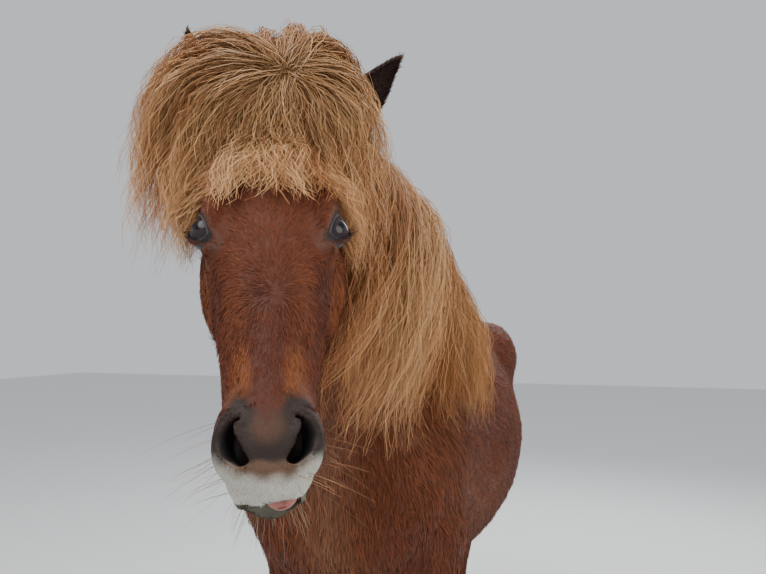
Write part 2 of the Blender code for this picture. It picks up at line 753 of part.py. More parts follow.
def lock(name, tree, path, half_width, thickness):
    """A flat, tapered lock with its ridge outwards, closed, along the path."""
    rows = [Vector(along_rows(path, i / LOCK_SEGMENTS)) for i in range(LOCK_SEGMENTS + 1)]

    def shape(mesh):
        rings = []
        for i, point in enumerate(rows[:-1]):
            ahead = (rows[i + 1] - rows[max(i - 1, 0)]).normalized()
            near, normal, _, _ = tree.find_nearest(point)
            outward = point - near if i else normal
            outward = (outward - ahead * outward.dot(ahead)).normalized()
            side = ahead.cross(outward)
            share = i / LOCK_SEGMENTS
            wide = half_width * mix(ROOT_WIDTH, 1, step_between(0, 0.4, share)) * (1 - share) ** 0.45
            thick = thickness * (1 - share) ** 0.35
            corners = (side * wide - outward * thick * 0.3, outward * thick * 0.7, -side * wide - outward * thick * 0.3)
            rings.append([mesh.verts.new(point + corner) for corner in corners])
        tip = mesh.verts.new(rows[-1])
        mesh.faces.new(rings[0])
        for low, high in zip(rings, rings[1:]):
            for i in range(3):
                j = (i + 1) % 3
                mesh.faces.new((low[i], low[j], high[j], high[i]))
        for i in range(3):
            mesh.faces.new((rings[-1][i], rings[-1][(i + 1) % 3], tip))

    return new_object(name, shape)


def mane_hair(tree, wall):
    draw = random.Random(HAIR_SEED)
    stand_off, length = MANE_CORE
    shares = [i / 9 for i in range(10)]
    paths = [mane_path(tree, share, mix(*stand_off, share), mix(*length, share), wall) for share in shares]
    hair = [core("mane_core", tree, paths)]
    for count, stand_offs, lengths, half_width, thickness in MANE_LAYERS:
        for i in range(count):
            share = min(max((i + 0.5 + draw.uniform(-0.25, 0.25)) / count, 0.02), 0.98)
            length = mix(*lengths, share) * draw.uniform(0.93, 1.07)
            path = mane_path(tree, share, mix(*stand_offs, share) * draw.uniform(0.92, 1.08), length, wall)
            hair.append(lock("mane_lock", tree, path, half_width, thickness))
    return hair


def forelock_hair(tree, place, wall):
    draw = random.Random(HAIR_SEED + 1)
    stand_off, length = FORELOCK_CORE
    angles = [math.radians(mix(-100, 100, i / 10)) for i in range(11)]
    hair = [core("forelock_core", tree, [forelock_path(tree, place, angle, stand_off, length, wall) for angle in angles])]
    for count, spread, stand_off, length, half_width, thickness in FORELOCK_LAYERS:
        for i in range(count):
            share = (i + 0.5 + draw.uniform(-0.2, 0.2)) / count
            angle = math.radians(mix(-spread, spread, share))
            size = length * draw.uniform(0.92, 1.06)
            path = forelock_path(tree, place, angle, stand_off * draw.uniform(0.9, 1.1), size, wall)
            hair.append(lock("forelock_lock", tree, path, half_width, thickness))
    return hair


def tail_side(y, height):
    return sway(y) + TAIL_LEAN * step_between(0, 0.8, 1.1 - height)


def tail_rings(rows, steps):
    rings = []
    for height, y, width, length in between(rows, steps):
        along = Vector((0, length, 0))
        rings.append((Vector((tail_side(y, height), y, height)), Vector((width, 0, 0)), along, -along, 0.0, 0.0))
    return rings


def tail_point(height, angle):
    """A point on the tail's outline: the height, and the angle round it."""
    heights = [row[0] for row in TAIL_HAIR]
    i = max(j for j in range(len(heights) - 1) if j == 0 or heights[j] >= height)
    share = (heights[i] - height) / (heights[i] - heights[i + 1])
    _, y, width, length = (mix(a, b, share) for a, b in zip(TAIL_HAIR[i], TAIL_HAIR[i + 1]))
    return Vector((tail_side(y, height) + width * math.cos(angle), y + length * math.sin(angle), height))


def tail():
    """The dock with a core of hair, and locks that hang round it."""
    draw = random.Random(HAIR_SEED + 2)
    piece = new_object("tail", lambda mesh: tube(mesh, tail_rings(TAIL_CORE, 2), 14))
    axis = new_object("axis", lambda mesh: tube(mesh, tail_rings([(z, y, 0.004, 0.004) for z, y, _, _ in TAIL_HAIR], 1), 6))
    tree = BVHTree.FromObject(axis, bpy.context.evaluated_depsgraph_get())
    remove(axis)
    hair = []
    for layer, (count, top, bottom, half_width, thickness) in enumerate(TAIL_LAYERS):
        for i in range(count):
            angle = 2 * math.pi * (i + 0.5 * layer + draw.uniform(-0.2, 0.2)) / count
            low = bottom + draw.uniform(-0.02, 0.05)
            path = [tail_point(mix(top, low, share / PATH_STEPS), angle) for share in range(PATH_STEPS + 1)]
            centre = Vector((sway(0.76), mix(0.756, 0.800, step_between(1.16, 1.00, top)), top))
            path[0] = centre.lerp(path[0], 0.45)
            hair.append(lock("tail_lock", tree, path, half_width, thickness))
    return join_hair(piece, hair)


def hair_only(tree, *guests):
    """A weight that is 1 on hair which stands clear of the body and of the guests, and 0 elsewhere."""
    graph = bpy.context.evaluated_depsgraph_get()
    trees = [BVHTree.FromObject(guest, graph) for guest in guests]

    def weight(co):
        near, normal, _, _ = tree.find_nearest(co)
        clear = (co - near).dot(normal) > HAIR_CLEAR
        return float(clear and all(other.find_nearest(co)[3] > HAIR_CLEAR for other in trees))

    return weight


def join_hair(obj, hair, side=None, neighbour=None):
    """Fuses the locks with the part that they grow from, as one closed surface. They keep to their side of the cut
    and clear of the neighbour."""
    locks = bpy.data.collections.new("locks")
    for piece in hair:
        if side:
            combine(piece, side, "INTERSECT", "MANIFOLD")
        if neighbour:
            make_room(piece, neighbour, clearance=HAIR_GAP, solver="MANIFOLD")
        locks.objects.link(piece)
    boolean = obj.modifiers.new("join", "BOOLEAN")
    boolean.operation = "UNION"
    boolean.solver = "MANIFOLD"
    boolean.operand_type = "COLLECTION"
    boolean.collection = locks
    apply_modifiers(obj)
    remove(*hair)
    bpy.data.collections.remove(locks)
    return largest_piece(obj)


def limbs(trunk):
    """Parts the legs from the trunk, and gives each its hoof."""
    for leg, hoof_name, rows, side in LEGS:
        pair = []
        for gap in (0, CUT_GAP):
            if rows is FORELEG:
                inner, slope = FORE_BLOCK[0][0] - gap, 1.4 * gap
                outline = [(max(x, 0) if x > inner + gap else inner, z + (slope if z > 0 else -gap)) for x, z in FORE_BLOCK]
                corners = [Vector((side * x, y, z)) for x, z in outline for y in (FORE_REACH[0] - gap, FORE_REACH[1] + gap)]
            else:
                high, low = (x - side * gap for x in HIND_INNER[side])
                corners = []
                for y, z in HIND_BLOCK:
                    y, z = y + (gap if y > 0.5 else -gap), z + (1.3 * gap if z > 0 else -gap)
                    corners.append(Vector((mix(low, high, max(z, 0) / HIND_BLOCK[2][1]), y, z)))
                    corners.append(Vector((side * 0.7, y, z)))
            pair.append(block(leg + "_block", corners))
        limb = split(trunk, leg, *pair)
        remove(*pair)
        ground = half_space("ground", Vector((0, 0, HOOF_TOP + CUT_GAP)), Vector((0, 0, -1)))
        combine(limb, ground)
        remove(ground)
        largest_piece(limb)
        hoof(hoof_name, leg, rows, side)


def paint(slots):
    """Gives each object its own material: colour, roughness."""
    for obj in bpy.data.objects:
        colour, roughness = slots[obj.name]
        material = bpy.data.materials.new(obj.name)
        material.use_nodes = True
        shader = material.node_tree.nodes["Principled BSDF"]
        shader.inputs["Base Color"].default_value = (*colour, 1)
        shader.inputs["Roughness"].default_value = roughness
        material.diffuse_color = (*colour, 1)
        obj.data.materials.clear()
        obj.data.materials.append(material)


def stand_on_origin():
    """Moves everything so that the middle of the footprint is the origin."""
    points = [vert.co for obj in bpy.data.objects for vert in obj.data.vertices]
    low = Vector([min(point[i] for point in points) for i in range(3)])
    high = Vector([max(point[i] for point in points) for i in range(3)])
    shift = Vector((-(low.x + high.x) / 2, -(low.y + high.y) / 2, -low.z))
    for obj in bpy.data.objects:
        obj.data.transform(Matrix.Translation(shift))
    return shift


def main():
    empty_scene()
    place = head_frame()
    trunk = body_form(place)
    tree = BVHTree.FromObject(trunk, bpy.context.evaluated_depsgraph_get())
    lighten(trunk, BODY_TRIANGLES)

    point, normal = place @ Vector(HEAD_CUT[0]), place.to_3x3() @ Vector(HEAD_CUT[1]).normalized()
    cuts = [half_space("cut", point - normal * gap, normal) for gap in (0, CUT_GAP)]
    head = split(trunk, "head", *cuts)
    remove(*cuts)
    point, normal = Vector(NECK_CUT[0]), Vector(NECK_CUT[1]).normalized()
    cuts = [half_space("cut", point - normal * gap, normal) for gap in (0, CUT_GAP)]
    neck = split(trunk, "neck", *cuts)
    remove(*cuts)
    trunk.name = "torso"
    limbs(trunk)

    eyes = [eye("eye_left", place, 1), eye("eye_right", place, -1)]
    tongue = new_object("tongue", lambda mesh: ellipsoid(mesh, place @ Matrix.Translation(TONGUE[0]), TONGUE[1], 2))
    for cutter in face_openings(place):
        combine(head, cutter)
        remove(cutter)
    make_room(head, tongue, *eyes)
    largest_piece(head)

    ears = [ear(name, place, *values) for name, values in EARS.items()]
    point, normal = place @ Vector(HEAD_CUT[0]), (place.to_3x3() @ Vector(HEAD_CUT[1])).normalized()
    for obj, hair, normal, neighbour in (
        (head, forelock_hair(tree, place, (point, normal)), normal, None),
        (neck, mane_hair(tree, (point, -normal)), -normal, trunk),
    ):
        side = half_space("side", point + normal * HAIR_GAP, normal)
        join_hair(obj, hair, side, neighbour)
        remove(side)
    hulls = [hull_of(piece) for piece in ears]
    for obj, triangles in ((head, HEAD_TRIANGLES), (neck, NECK_TRIANGLES)):
        make_room(obj, *hulls, clearance=EAR_CLEARANCE, solver="MANIFOLD")
        lighten(largest_piece(obj), triangles, hair_only(tree, *ears))
        largest_piece(obj)
    remove(*hulls)
    make_room(trunk, tail())
    largest_piece(trunk)
    paint(COLOURS)
    return stand_on_origin()


if __name__ == "__main__":
    main()
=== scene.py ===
# %% [markdown]
# # An Icelandic horse in its winter coat
# A small, thickset horse stands with its head turned to its left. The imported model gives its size, stance and outline. This script puts a skin, a coat, long hair, eyes,
# ears and hooves in its place, in the same frame.

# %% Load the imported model
import math
import random

import bmesh
import bpy
import numpy as np
from mathutils import Matrix, Vector
from mathutils.bvhtree import BVHTree


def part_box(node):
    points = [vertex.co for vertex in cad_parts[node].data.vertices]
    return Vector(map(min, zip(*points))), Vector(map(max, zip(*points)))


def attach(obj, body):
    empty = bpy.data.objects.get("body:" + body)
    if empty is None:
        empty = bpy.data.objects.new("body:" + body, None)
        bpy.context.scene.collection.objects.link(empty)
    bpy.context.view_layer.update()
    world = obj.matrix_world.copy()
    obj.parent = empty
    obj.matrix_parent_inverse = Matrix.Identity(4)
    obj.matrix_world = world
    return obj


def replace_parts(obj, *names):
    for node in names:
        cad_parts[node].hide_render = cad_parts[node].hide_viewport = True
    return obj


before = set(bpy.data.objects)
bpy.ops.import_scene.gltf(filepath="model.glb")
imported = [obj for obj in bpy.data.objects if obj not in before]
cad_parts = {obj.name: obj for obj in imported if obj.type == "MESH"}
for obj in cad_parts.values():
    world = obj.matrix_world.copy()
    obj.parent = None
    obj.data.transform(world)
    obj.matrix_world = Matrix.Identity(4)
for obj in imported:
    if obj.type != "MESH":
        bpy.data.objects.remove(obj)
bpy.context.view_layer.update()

# %% [markdown]
# The horse is built round its own zero point, as it was in the solid model: metres, +Z up, facing -Y, with
# its left side at +X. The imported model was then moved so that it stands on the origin. An eye is a ball
# with a known centre, so the centre of its box tells how far everything was moved.

# %% The head's own frame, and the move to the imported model
POLL = Vector((0.053, -1.048, 1.566))
HEAD_YAW, HEAD_PITCH, HEAD_ROLL = math.radians(24.3), math.radians(35), math.radians(2)
EYE = Vector((0.080, -0.043, 0.198))


def head_frame():
    """Places a point given as (to the horse's left, outward from the face, down the face)."""
    ahead = Vector((math.sin(HEAD_YAW), -math.cos(HEAD_YAW), 0))
    left = Vector((math.cos(HEAD_YAW), math.sin(HEAD_YAW), 0))
    down_face = ahead * math.sin(HEAD_PITCH) + Vector((0, 0, -math.cos(HEAD_PITCH)))
    outward = ahead * math.cos(HEAD_PITCH) + Vector((0, 0, math.sin(HEAD_PITCH)))
    axes = Matrix((left, outward, down_face)).transposed()
    return Matrix.Translation(POLL) @ (Matrix.Rotation(HEAD_ROLL, 3, outward) @ axes).to_4x4()


HEAD = head_frame()
low, high = (Vector(corner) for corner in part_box("eye_left"))
SHIFT = (low + high) / 2 - HEAD @ EYE
print("moved by", [round(value, 4) for value in SHIFT])

# %% [markdown]
# The camera and the light come first, so that every later step can be looked at. The picture was taken from
# close by, a little above the horse's shoulder and slightly downwards. Large soft lamps and a pale world
# stand for the overcast winter sky, and the floor is plain.

# %% Camera
CAMERA_PLACE = Vector((0.50182, -1.8923, 1.25))
CAMERA_TURN = (math.radians(93.8), 0, math.radians(18))
CAMERA_LENS = 30.55

camera = bpy.data.objects.new("camera", bpy.data.cameras.new("camera"))
bpy.context.scene.collection.objects.link(camera)
camera.location = CAMERA_PLACE + SHIFT
camera.rotation_euler = CAMERA_TURN
camera.data.lens = CAMERA_LENS
camera.data.sensor_width = 36
camera.data.clip_start = 0.02
bpy.context.scene.camera = camera
print("camera", [round(value, 3) for value in camera.location])

# %% Lamps, world and floor
LAMPS = (
    # name, place, aims at, size, watts, colour
    ("sky_lamp", (-0.6, -2.6, 4.2), (0.1, -0.7, 1.1), 3.6, 190, (1.0, 0.98, 0.95)),
    ("side_lamp", (2.9, -1.6, 2.3), (0.1, -0.5, 1.1), 2.2, 62, (1.0, 0.96, 0.90)),
    ("back_lamp", (0.6, 2.8, 3.2), (0.0, -0.2, 1.1), 2.4, 90, (0.94, 0.97, 1.0)),
)
for name, place, target, size, watts, colour in LAMPS:
    lamp = bpy.data.lights.new(name, "AREA")
    lamp.shape, lamp.size, lamp.energy, lamp.color = "DISK", size, watts, colour
    holder = bpy.data.objects.new(name, lamp)
    holder.location = Vector(place) + SHIFT
    holder.rotation_euler = (Vector(target) - Vector(place)).to_track_quat("-Z", "Y").to_euler()
    bpy.context.scene.collection.objects.link(holder)

world = bpy.data.worlds.new("pale_sky")
bpy.context.scene.world = world
world.use_nodes = True
world.node_tree.nodes["Background"].inputs["Color"].default_value = (0.86, 0.90, 0.95, 1)
world.node_tree.nodes["Background"].inputs["Strength"].default_value = 0.75


def new_object(name, make):
    """An object whose mesh is made by the given function from an empty bmesh."""
    mesh = bmesh.new()
    make(mesh)
    data = bpy.data.meshes.new(name)
    mesh.to_mesh(data)
    mesh.free()
    obj = bpy.data.objects.new(name, data)
    bpy.context.scene.collection.objects.link(obj)
    return obj


def plain_material(name, colour, roughness):
    material = bpy.data.materials.new(name)
    material.use_nodes = True
    shader = material.node_tree.nodes["Principled BSDF"]
    shader.inputs["Base Color"].default_value = (*colour, 1)
    shader.inputs["Roughness"].default_value = roughness
    return material, shader


FLOOR_SIZE = 14
floor = new_object("studio_floor",
                   lambda mesh: bmesh.ops.create_grid(mesh, x_segments=1, y_segments=1, size=FLOOR_SIZE))
floor.data.materials.append(plain_material("pale_floor", (0.74, 0.74, 0.73), 0.9)[0])
print("lamps", len(LAMPS))

# %% [markdown]
# ## The body under the coat
# A body is a set of rounded tubes that melt into each other: trunk, neck, head and legs. Each tube follows
# a table of sections taken along the animal, as a sculptor sets out an armature. A voxel remesh makes one
# closed surface of them, and smoothing lets the joins flow.

# %% Tables of the body
# distance along the body, top line, belly line, half width, pinch of the top and of the belly
TRUNK = (
    (-0.755, 1.055, 0.860, 0.100, 0.0, 0.0),
    (-0.722, 1.140, 0.775, 0.190, 0.1, 0.0),
    (-0.640, 1.240, 0.705, 0.232, 0.2, 0.1),
    (-0.500, 1.345, 0.655, 0.246, 0.35, 0.15),
    (-0.340, 1.385, 0.620, 0.252, 0.5, 0.12),
    (-0.200, 1.360, 0.600, 0.268, 0.4, 0.05),
    (-0.050, 1.322, 0.590, 0.288, 0.22, 0.0),
    (0.100, 1.312, 0.592, 0.300, 0.15, 0.0),
    (0.230, 1.325, 0.615, 0.294, 0.18, 0.0),
    (0.360, 1.346, 0.680, 0.272, 0.22, 0.05),
    (0.480, 1.338, 0.780, 0.250, 0.25, 0.1),
    (0.600, 1.290, 0.880, 0.222, 0.2, 0.15),
    (0.690, 1.210, 0.960, 0.170, 0.1, 0.1),
    (0.735, 1.120, 1.020, 0.090, 0.0, 0.0),
)
SWAY = (-0.030, -0.05, 0.65)
# crest point and throat point (distance along the body, height), sideways shift, half width, turn in degrees
NECK = (
    (-0.330, 1.374, -0.600, 0.860, 0.000, 0.190, 0),
    (-0.450, 1.407, -0.745, 0.985, 0.001, 0.178, 0),
    (-0.580, 1.452, -0.820, 1.075, 0.005, 0.156, 2),
    (-0.740, 1.506, -0.880, 1.170, 0.014, 0.130, 6),
    (-0.870, 1.543, -0.925, 1.250, 0.028, 0.109, 11),
    (-0.975, 1.560, -0.985, 1.305, 0.042, 0.095, 16),
)
NECK_PINCH = (0.5, 0.25)
# in the head's frame, from the poll down the face: distance, front, back, half width, pinch of front and of back
SKULL = (
    (-0.030, -0.020, -0.150, 0.062, 0.1, 0.1),
    (0.000, 0.000, -0.190, 0.082, 0.1, 0.2),
    (0.050, 0.012, -0.225, 0.092, 0.1, 0.25),
    (0.100, 0.018, -0.245, 0.096, 0.08, 0.25),
    (0.150, 0.019, -0.250, 0.098, 0.05, 0.3),
    (0.200, 0.014, -0.242, 0.097, 0.05, 0.35),
    (0.250, 0.006, -0.222, 0.089, 0.1, 0.4),
    (0.300, -0.002, -0.196, 0.078, 0.15, 0.4),
    (0.350, -0.008, -0.172, 0.068, 0.2, 0.35),
    (0.400, -0.013, -0.154, 0.060, 0.2, 0.3),
    (0.450, -0.018, -0.142, 0.055, 0.15, 0.25),
    (0.500, -0.026, -0.138, 0.054, 0.05, 0.2),
    (0.528, -0.040, -0.136, 0.046, 0.0, 0.15),
    (0.550, -0.060, -0.126, 0.036, 0.0, 0.1),
)
# rounded masses of the left side, mirrored to the right: place and half sizes
HEAD_MASSES = (
    ((0.056, -0.145, 0.188), (0.052, 0.088, 0.115)),
    ((0.070, -0.045, 0.185), (0.031, 0.050, 0.062)),
    ((0.062, -0.070, 0.285), (0.016, 0.022, 0.066)),
    ((0.040, -0.058, 0.490), (0.021, 0.034, 0.046)),
    ((0.000, -0.070, 0.522), (0.044, 0.034, 0.030)),
    ((0.000, -0.125, 0.518), (0.035, 0.019, 0.036)),
    ((0.088, -0.050, 0.022), (0.036, 0.042, 0.046)),
)
TRUNK_MASSES = (
    ((0.122, -0.460, 1.020), (0.105, 0.140, 0.240)),
    ((0.145, -0.520, 0.900), (0.098, 0.150, 0.170)),
    ((0.095, -0.655, 0.890), (0.095, 0.090, 0.130)),
    ((0.130, 0.550, 1.020), (0.115, 0.175, 0.210)),
    ((0.155, 0.370, 0.870), (0.085, 0.100, 0.130)),
    ((0.165, 0.385, 1.150), (0.108, 0.170, 0.140)),
    ((0.110, 0.530, 1.170), (0.110, 0.150, 0.130)),
)
# legs, from the top down: height, distance along the body, sideways, half width, half length
FORELEG = (
    (1.000, -0.520, 0.130, 0.095, 0.150),
    (0.880, -0.525, 0.150, 0.096, 0.138),
    (0.780, -0.505, 0.162, 0.082, 0.112),
    (0.700, -0.500, 0.160, 0.068, 0.088),
    (0.600, -0.502, 0.155, 0.056, 0.068),
    (0.510, -0.507, 0.152, 0.047, 0.052),
    (0.450, -0.512, 0.150, 0.048, 0.050),
    (0.400, -0.508, 0.149, 0.043, 0.046),
    (0.340, -0.503, 0.148, 0.034, 0.040),
    (0.260, -0.500, 0.148, 0.033, 0.039),
    (0.200, -0.500, 0.148, 0.040, 0.047),
    (0.150, -0.515, 0.148, 0.037, 0.041),
    (0.110, -0.533, 0.148, 0.040, 0.043),
    (0.070, -0.550, 0.148, 0.051, 0.056),
)
HINDLEG = (
    (1.120, 0.520, 0.120, 0.100, 0.190),
    (1.000, 0.505, 0.134, 0.112, 0.205),
    (0.880, 0.495, 0.140, 0.110, 0.195),
    (0.780, 0.515, 0.140, 0.090, 0.148),
    (0.690, 0.558, 0.137, 0.070, 0.106),
    (0.600, 0.612, 0.134, 0.054, 0.076),
    (0.530, 0.650, 0.132, 0.047, 0.068),
    (0.470, 0.662, 0.130, 0.044, 0.057),
    (0.400, 0.658, 0.130, 0.036, 0.046),
    (0.300, 0.650, 0.130, 0.035, 0.042),
    (0.205, 0.645, 0.130, 0.041, 0.049),
    (0.150, 0.628, 0.130, 0.038, 0.042),
    (0.110, 0.612, 0.130, 0.040, 0.043),
    (0.070, 0.595, 0.130, 0.050, 0.055),
)
FOOT = {
    "foreleg_left": (0.000, -0.035),
    "foreleg_right": (0.000, 0.025),
    "hindleg_left": (-0.085, -0.190),
    "hindleg_right": (-0.020, 0.010),
}
LEAN = (0.36, 0.95)
LEGS = (
    ("foreleg_left", "hoof_fore_left", FORELEG, 1),
    ("foreleg_right", "hoof_fore_right", FORELEG, -1),
    ("hindleg_left", "hoof_hind_left", HINDLEG, 1),
    ("hindleg_right", "hoof_hind_right", HINDLEG, -1),
)
print("sections", len(TRUNK) + len(NECK) + len(SKULL) + 2 * len(FORELEG) + 2 * len(HINDLEG))

# %% [markdown]
# Few sections are enough, because a smooth curve through them gives the ones in between. Each section is an
# oval that may narrow towards its top or its bottom, and a flat grid is rolled up into a tube that passes
# through them.


# %% Curves between sections, and tubes through them
def step_between(low, high, value):
    t = min(max((value - low) / (high - low), 0), 1)
    return t * t * (3 - 2 * t)


def mix(a, b, t):
    return a + (b - a) * t


def between(rows, steps=5):
    """Rows of numbers with smooth rows put in between."""
    flat = []
    for i in range(len(rows) - 1):
        before, after = rows[max(i - 1, 0)], rows[min(i + 2, len(rows) - 1)]
        for step in range(steps):
            t = step / steps
            row = []
            for a, b, c, d in zip(before, rows[i], rows[i + 1], after):
                bend = (2 * a - 5 * b + 4 * c - d) * t * t + (3 * b - a - 3 * c + d) * t**3
                row.append(b + 0.5 * ((c - a) * t + bend))
            flat.append(tuple(row))
    return flat + [tuple(rows[-1])]


def ring_point(ring, angle):
    centre, side, up, down, pinch_up, pinch_down = ring
    across, along = math.cos(angle), math.sin(angle)
    if along > 0:
        return centre + side * across * (1 - pinch_up * along) + up * along
    return centre + side * across * (1 + pinch_down * along) - down * along


def tube(mesh, rings, sides=48):
    last = len(rings) - 1
    grid = bmesh.ops.create_grid(mesh, x_segments=sides, y_segments=last, size=1)
    for vert in grid["verts"]:
        ring = rings[round((vert.co.y + 1) / 2 * last)]
        vert.co = ring_point(ring, (vert.co.x + 1) * math.pi)
    bmesh.ops.remove_doubles(mesh, verts=grid["verts"], dist=1e-6)
    rims = [edge for edge in mesh.edges if edge.is_boundary]
    bmesh.ops.holes_fill(mesh, edges=rims, sides=0)
    bmesh.ops.recalc_face_normals(mesh, faces=mesh.faces)


def sway(y):
    far, start, end = SWAY
    return far * step_between(start, end, y)


def trunk_rings():
    rings = []
    for y, top, bottom, width, pinch_up, pinch_down in between(TRUNK):
        middle = bottom + (top - bottom) * 0.48
        up, down = Vector((0, 0, top - middle)), Vector((0, 0, bottom - middle))
        rings.append((Vector((sway(y), y, middle)), Vector((width, 0, 0)), up, down, pinch_up, pinch_down))
    return rings


def neck_rings():
    rings = []
    for crest_y, crest_z, throat_y, throat_z, shift, width, turn in between(NECK):
        crest, throat = Vector((shift, crest_y, crest_z)), Vector((shift, throat_y, throat_z))
        centre = throat.lerp(crest, 0.45)
        side = Matrix.Rotation(math.radians(turn), 3, "Z") @ Vector((width, 0, 0))
        rings.append((centre, side, crest - centre, throat - centre, *NECK_PINCH))
    return rings


def skull_rings():
    axes, rings = HEAD.to_3x3(), []
    for down_face, front, back, width, pinch_up, pinch_down in between(SKULL):
        middle = back + (front - back) * 0.58
        side = axes @ Vector((width, 0, 0))
        up, down = axes @ Vector((0, front - middle, 0)), axes @ Vector((0, back - middle, 0))
        rings.append((HEAD @ Vector((0, middle, down_face)), side, up, down, pinch_up, pinch_down))
    return rings


def leg_rings(name, rows, side):
    """The joint with the trunk stays in place, and the foot moves to where it stands."""
    shift_x, shift_y = FOOT[name]
    rings = []
    for z, y, x, width, length in between(rows):
        share = 1 - step_between(*LEAN, z)
        centre = Vector((side * x + sway(y) + shift_x * share, y + shift_y * share, z))
        along = Vector((0, length, 0))
        rings.append((centre, Vector((width, 0, 0)), along, -along, 0.0, 0.0))
    return rings


print("trunk sections", len(trunk_rings()))

# %% [markdown]
# Two remeshes keep the joins right. The first, coarse one takes trunk, neck and legs, and is smoothed a
# great deal, less towards the slender legs. The second, fine one adds the head with its cheeks, brows and
# lids. A decimation then thins the plain body and leaves the head, where every millimetre shows, alone.

# %% Fuse the body
TRUNK_VOXEL, SKIN_VOXEL = 0.008, 0.0042
EYE_AXIS = Vector((0.87, 0.45, -0.10)).normalized()
LID_BULGE = 0.0265
BODY_SHARE = 0.16


def ellipsoid(mesh, matrix, sizes, detail=4):
    placed = matrix @ Matrix.Diagonal((*sizes, 1))
    bmesh.ops.create_icosphere(mesh, subdivisions=detail, radius=1, matrix=placed)


def mirrored(vector, side):
    return Vector((side * vector[0], vector[1], vector[2]))


def apply_modifiers(obj):
    graph = bpy.context.evaluated_depsgraph_get()
    obj.data = bpy.data.meshes.new_from_object(obj.evaluated_get(graph))
    obj.modifiers.clear()
    obj.vertex_groups.clear()
    return obj


def weigh(obj, name, weight):
    """A vertex group from a function of the place."""
    group = obj.vertex_groups.new(name=name)
    for vert in obj.data.vertices:
        group.add([vert.index], weight(vert.co), "REPLACE")


def fuse(obj, voxel):
    remesh = obj.modifiers.new("fuse", "REMESH")
    remesh.mode, remesh.voxel_size = "VOXEL", voxel
    return apply_modifiers(obj)


def soften(obj, rounds, weight=None):
    smooth = obj.modifiers.new("soften", "SMOOTH")
    smooth.factor, smooth.iterations = 0.5, rounds
    if weight:
        weigh(obj, "soft", weight)
        smooth.vertex_group = "soft"
    return apply_modifiers(obj)


def trunk_form(mesh):
    tube(mesh, trunk_rings())
    tube(mesh, neck_rings())
    for name, _, rows, side in LEGS:
        tube(mesh, leg_rings(name, rows, side))
    for (x, y, z), sizes in TRUNK_MASSES:
        for side in (1, -1):
            ellipsoid(mesh, Matrix.Translation((side * x + sway(y), y, z)), sizes)


trunk = soften(fuse(new_object("trunk", trunk_form), TRUNK_VOXEL), 110,
               lambda co: 0.08 + 0.92 * step_between(0.62, 0.86, co.z))


def whole_form(mesh):
    mesh.from_mesh(trunk.data)
    tube(mesh, skull_rings())
    for (x, y, z), sizes in HEAD_MASSES:
        for side in (1, -1) if x else (1,):
            ellipsoid(mesh, HEAD @ Matrix.Translation((side * x, y, z)), sizes)
    for side in (1, -1):
        ellipsoid(mesh, HEAD @ Matrix.Translation(mirrored(EYE + EYE_AXIS * 0.002, side)), (LID_BULGE,) * 3)


skin = soften(fuse(new_object("skin", whole_form), SKIN_VOXEL), 9)
bpy.data.objects.remove(trunk)
INTO_HEAD = HEAD.inverted()


def thins(co):
    place = INTO_HEAD @ co
    return 0.0 if place.z > 0.03 and place.y > -0.28 and abs(place.x) < 0.16 else 1.0


reduce = skin.modifiers.new("thin", "DECIMATE")
reduce.ratio = BODY_SHARE
weigh(skin, "thin", thins)
reduce.vertex_group = "thin"
reduce.vertex_group_factor = 1
print("before", len(skin.data.polygons))
apply_modifiers(skin)
print("skin faces", len(skin.data.polygons))

# %% [markdown]
# Nostrils, lids and lips are worked into the finished surface, like clay pressed in with a thumb. The mesh
# is made denser there first. All the places below are in the head's own frame: sideways, outward from the
# face, down the face.

# %% Denser mesh on the muzzle and round the eyes
NOSTRIL_EDGE = (
    (0.031, 0.474), (0.039, 0.479), (0.047, 0.488), (0.052, 0.500), (0.049, 0.512),
    (0.040, 0.521), (0.030, 0.525),
    (0.021, 0.523), (0.020, 0.519), (0.026, 0.509), (0.031, 0.499), (0.035, 0.490),
    (0.034, 0.482), (0.029, 0.478),
)
NOSTRIL_EDGE = between(NOSTRIL_EDGE + NOSTRIL_EDGE[:1], 4)[:-1]
LIP_LINE = (
    (-0.050, -0.102, 0.452), (-0.049, -0.099, 0.490), (-0.044, -0.092, 0.520), (-0.034, -0.087, 0.542),
    (-0.022, -0.087, 0.552), (-0.010, -0.086, 0.555), (0.003, -0.083, 0.556), (0.016, -0.080, 0.555),
    (0.028, -0.080, 0.550), (0.037, -0.084, 0.540), (0.045, -0.092, 0.520), (0.049, -0.099, 0.490),
    (0.050, -0.102, 0.452),
)
GAPE = ((-0.008, -0.083), (0.004, -0.080), (0.016, -0.077), (0.031, -0.076),
        (0.034, -0.090), (0.030, -0.104), (0.016, -0.104), (0.004, -0.095))


def denser(obj, wanted, rounds=1):
    """Halves the edges whose ends both lie where the mesh is to be denser."""
    mesh = bmesh.new()
    mesh.from_mesh(obj.data)
    bmesh.ops.triangulate(mesh, faces=mesh.faces)
    for _ in range(rounds):
        near = {vert for vert in mesh.verts if wanted(INTO_HEAD @ vert.co)}
        edges = [edge for edge in mesh.edges if edge.verts[0] in near and edge.verts[1] in near]
        bmesh.ops.subdivide_edges(mesh, edges=edges, cuts=1)
        bmesh.ops.triangulate(mesh, faces=[face for face in mesh.faces if len(face.verts) > 3])
    mesh.to_mesh(obj.data)
    mesh.free()


def near_eye(place, reach):
    return min((place - mirrored(EYE, side)).length for side in (1, -1)) < reach


denser(skin, lambda place: place.z > 0.425 and place.y > -0.17 or near_eye(place, 0.060))
denser(skin, lambda place: place.z > 0.462 and place.y > -0.135 or near_eye(place, 0.042))


def coordinates(obj):
    flat = np.empty(len(obj.data.vertices) * 3)
    obj.data.vertices.foreach_get("co", flat)
    return flat.reshape(-1, 3)


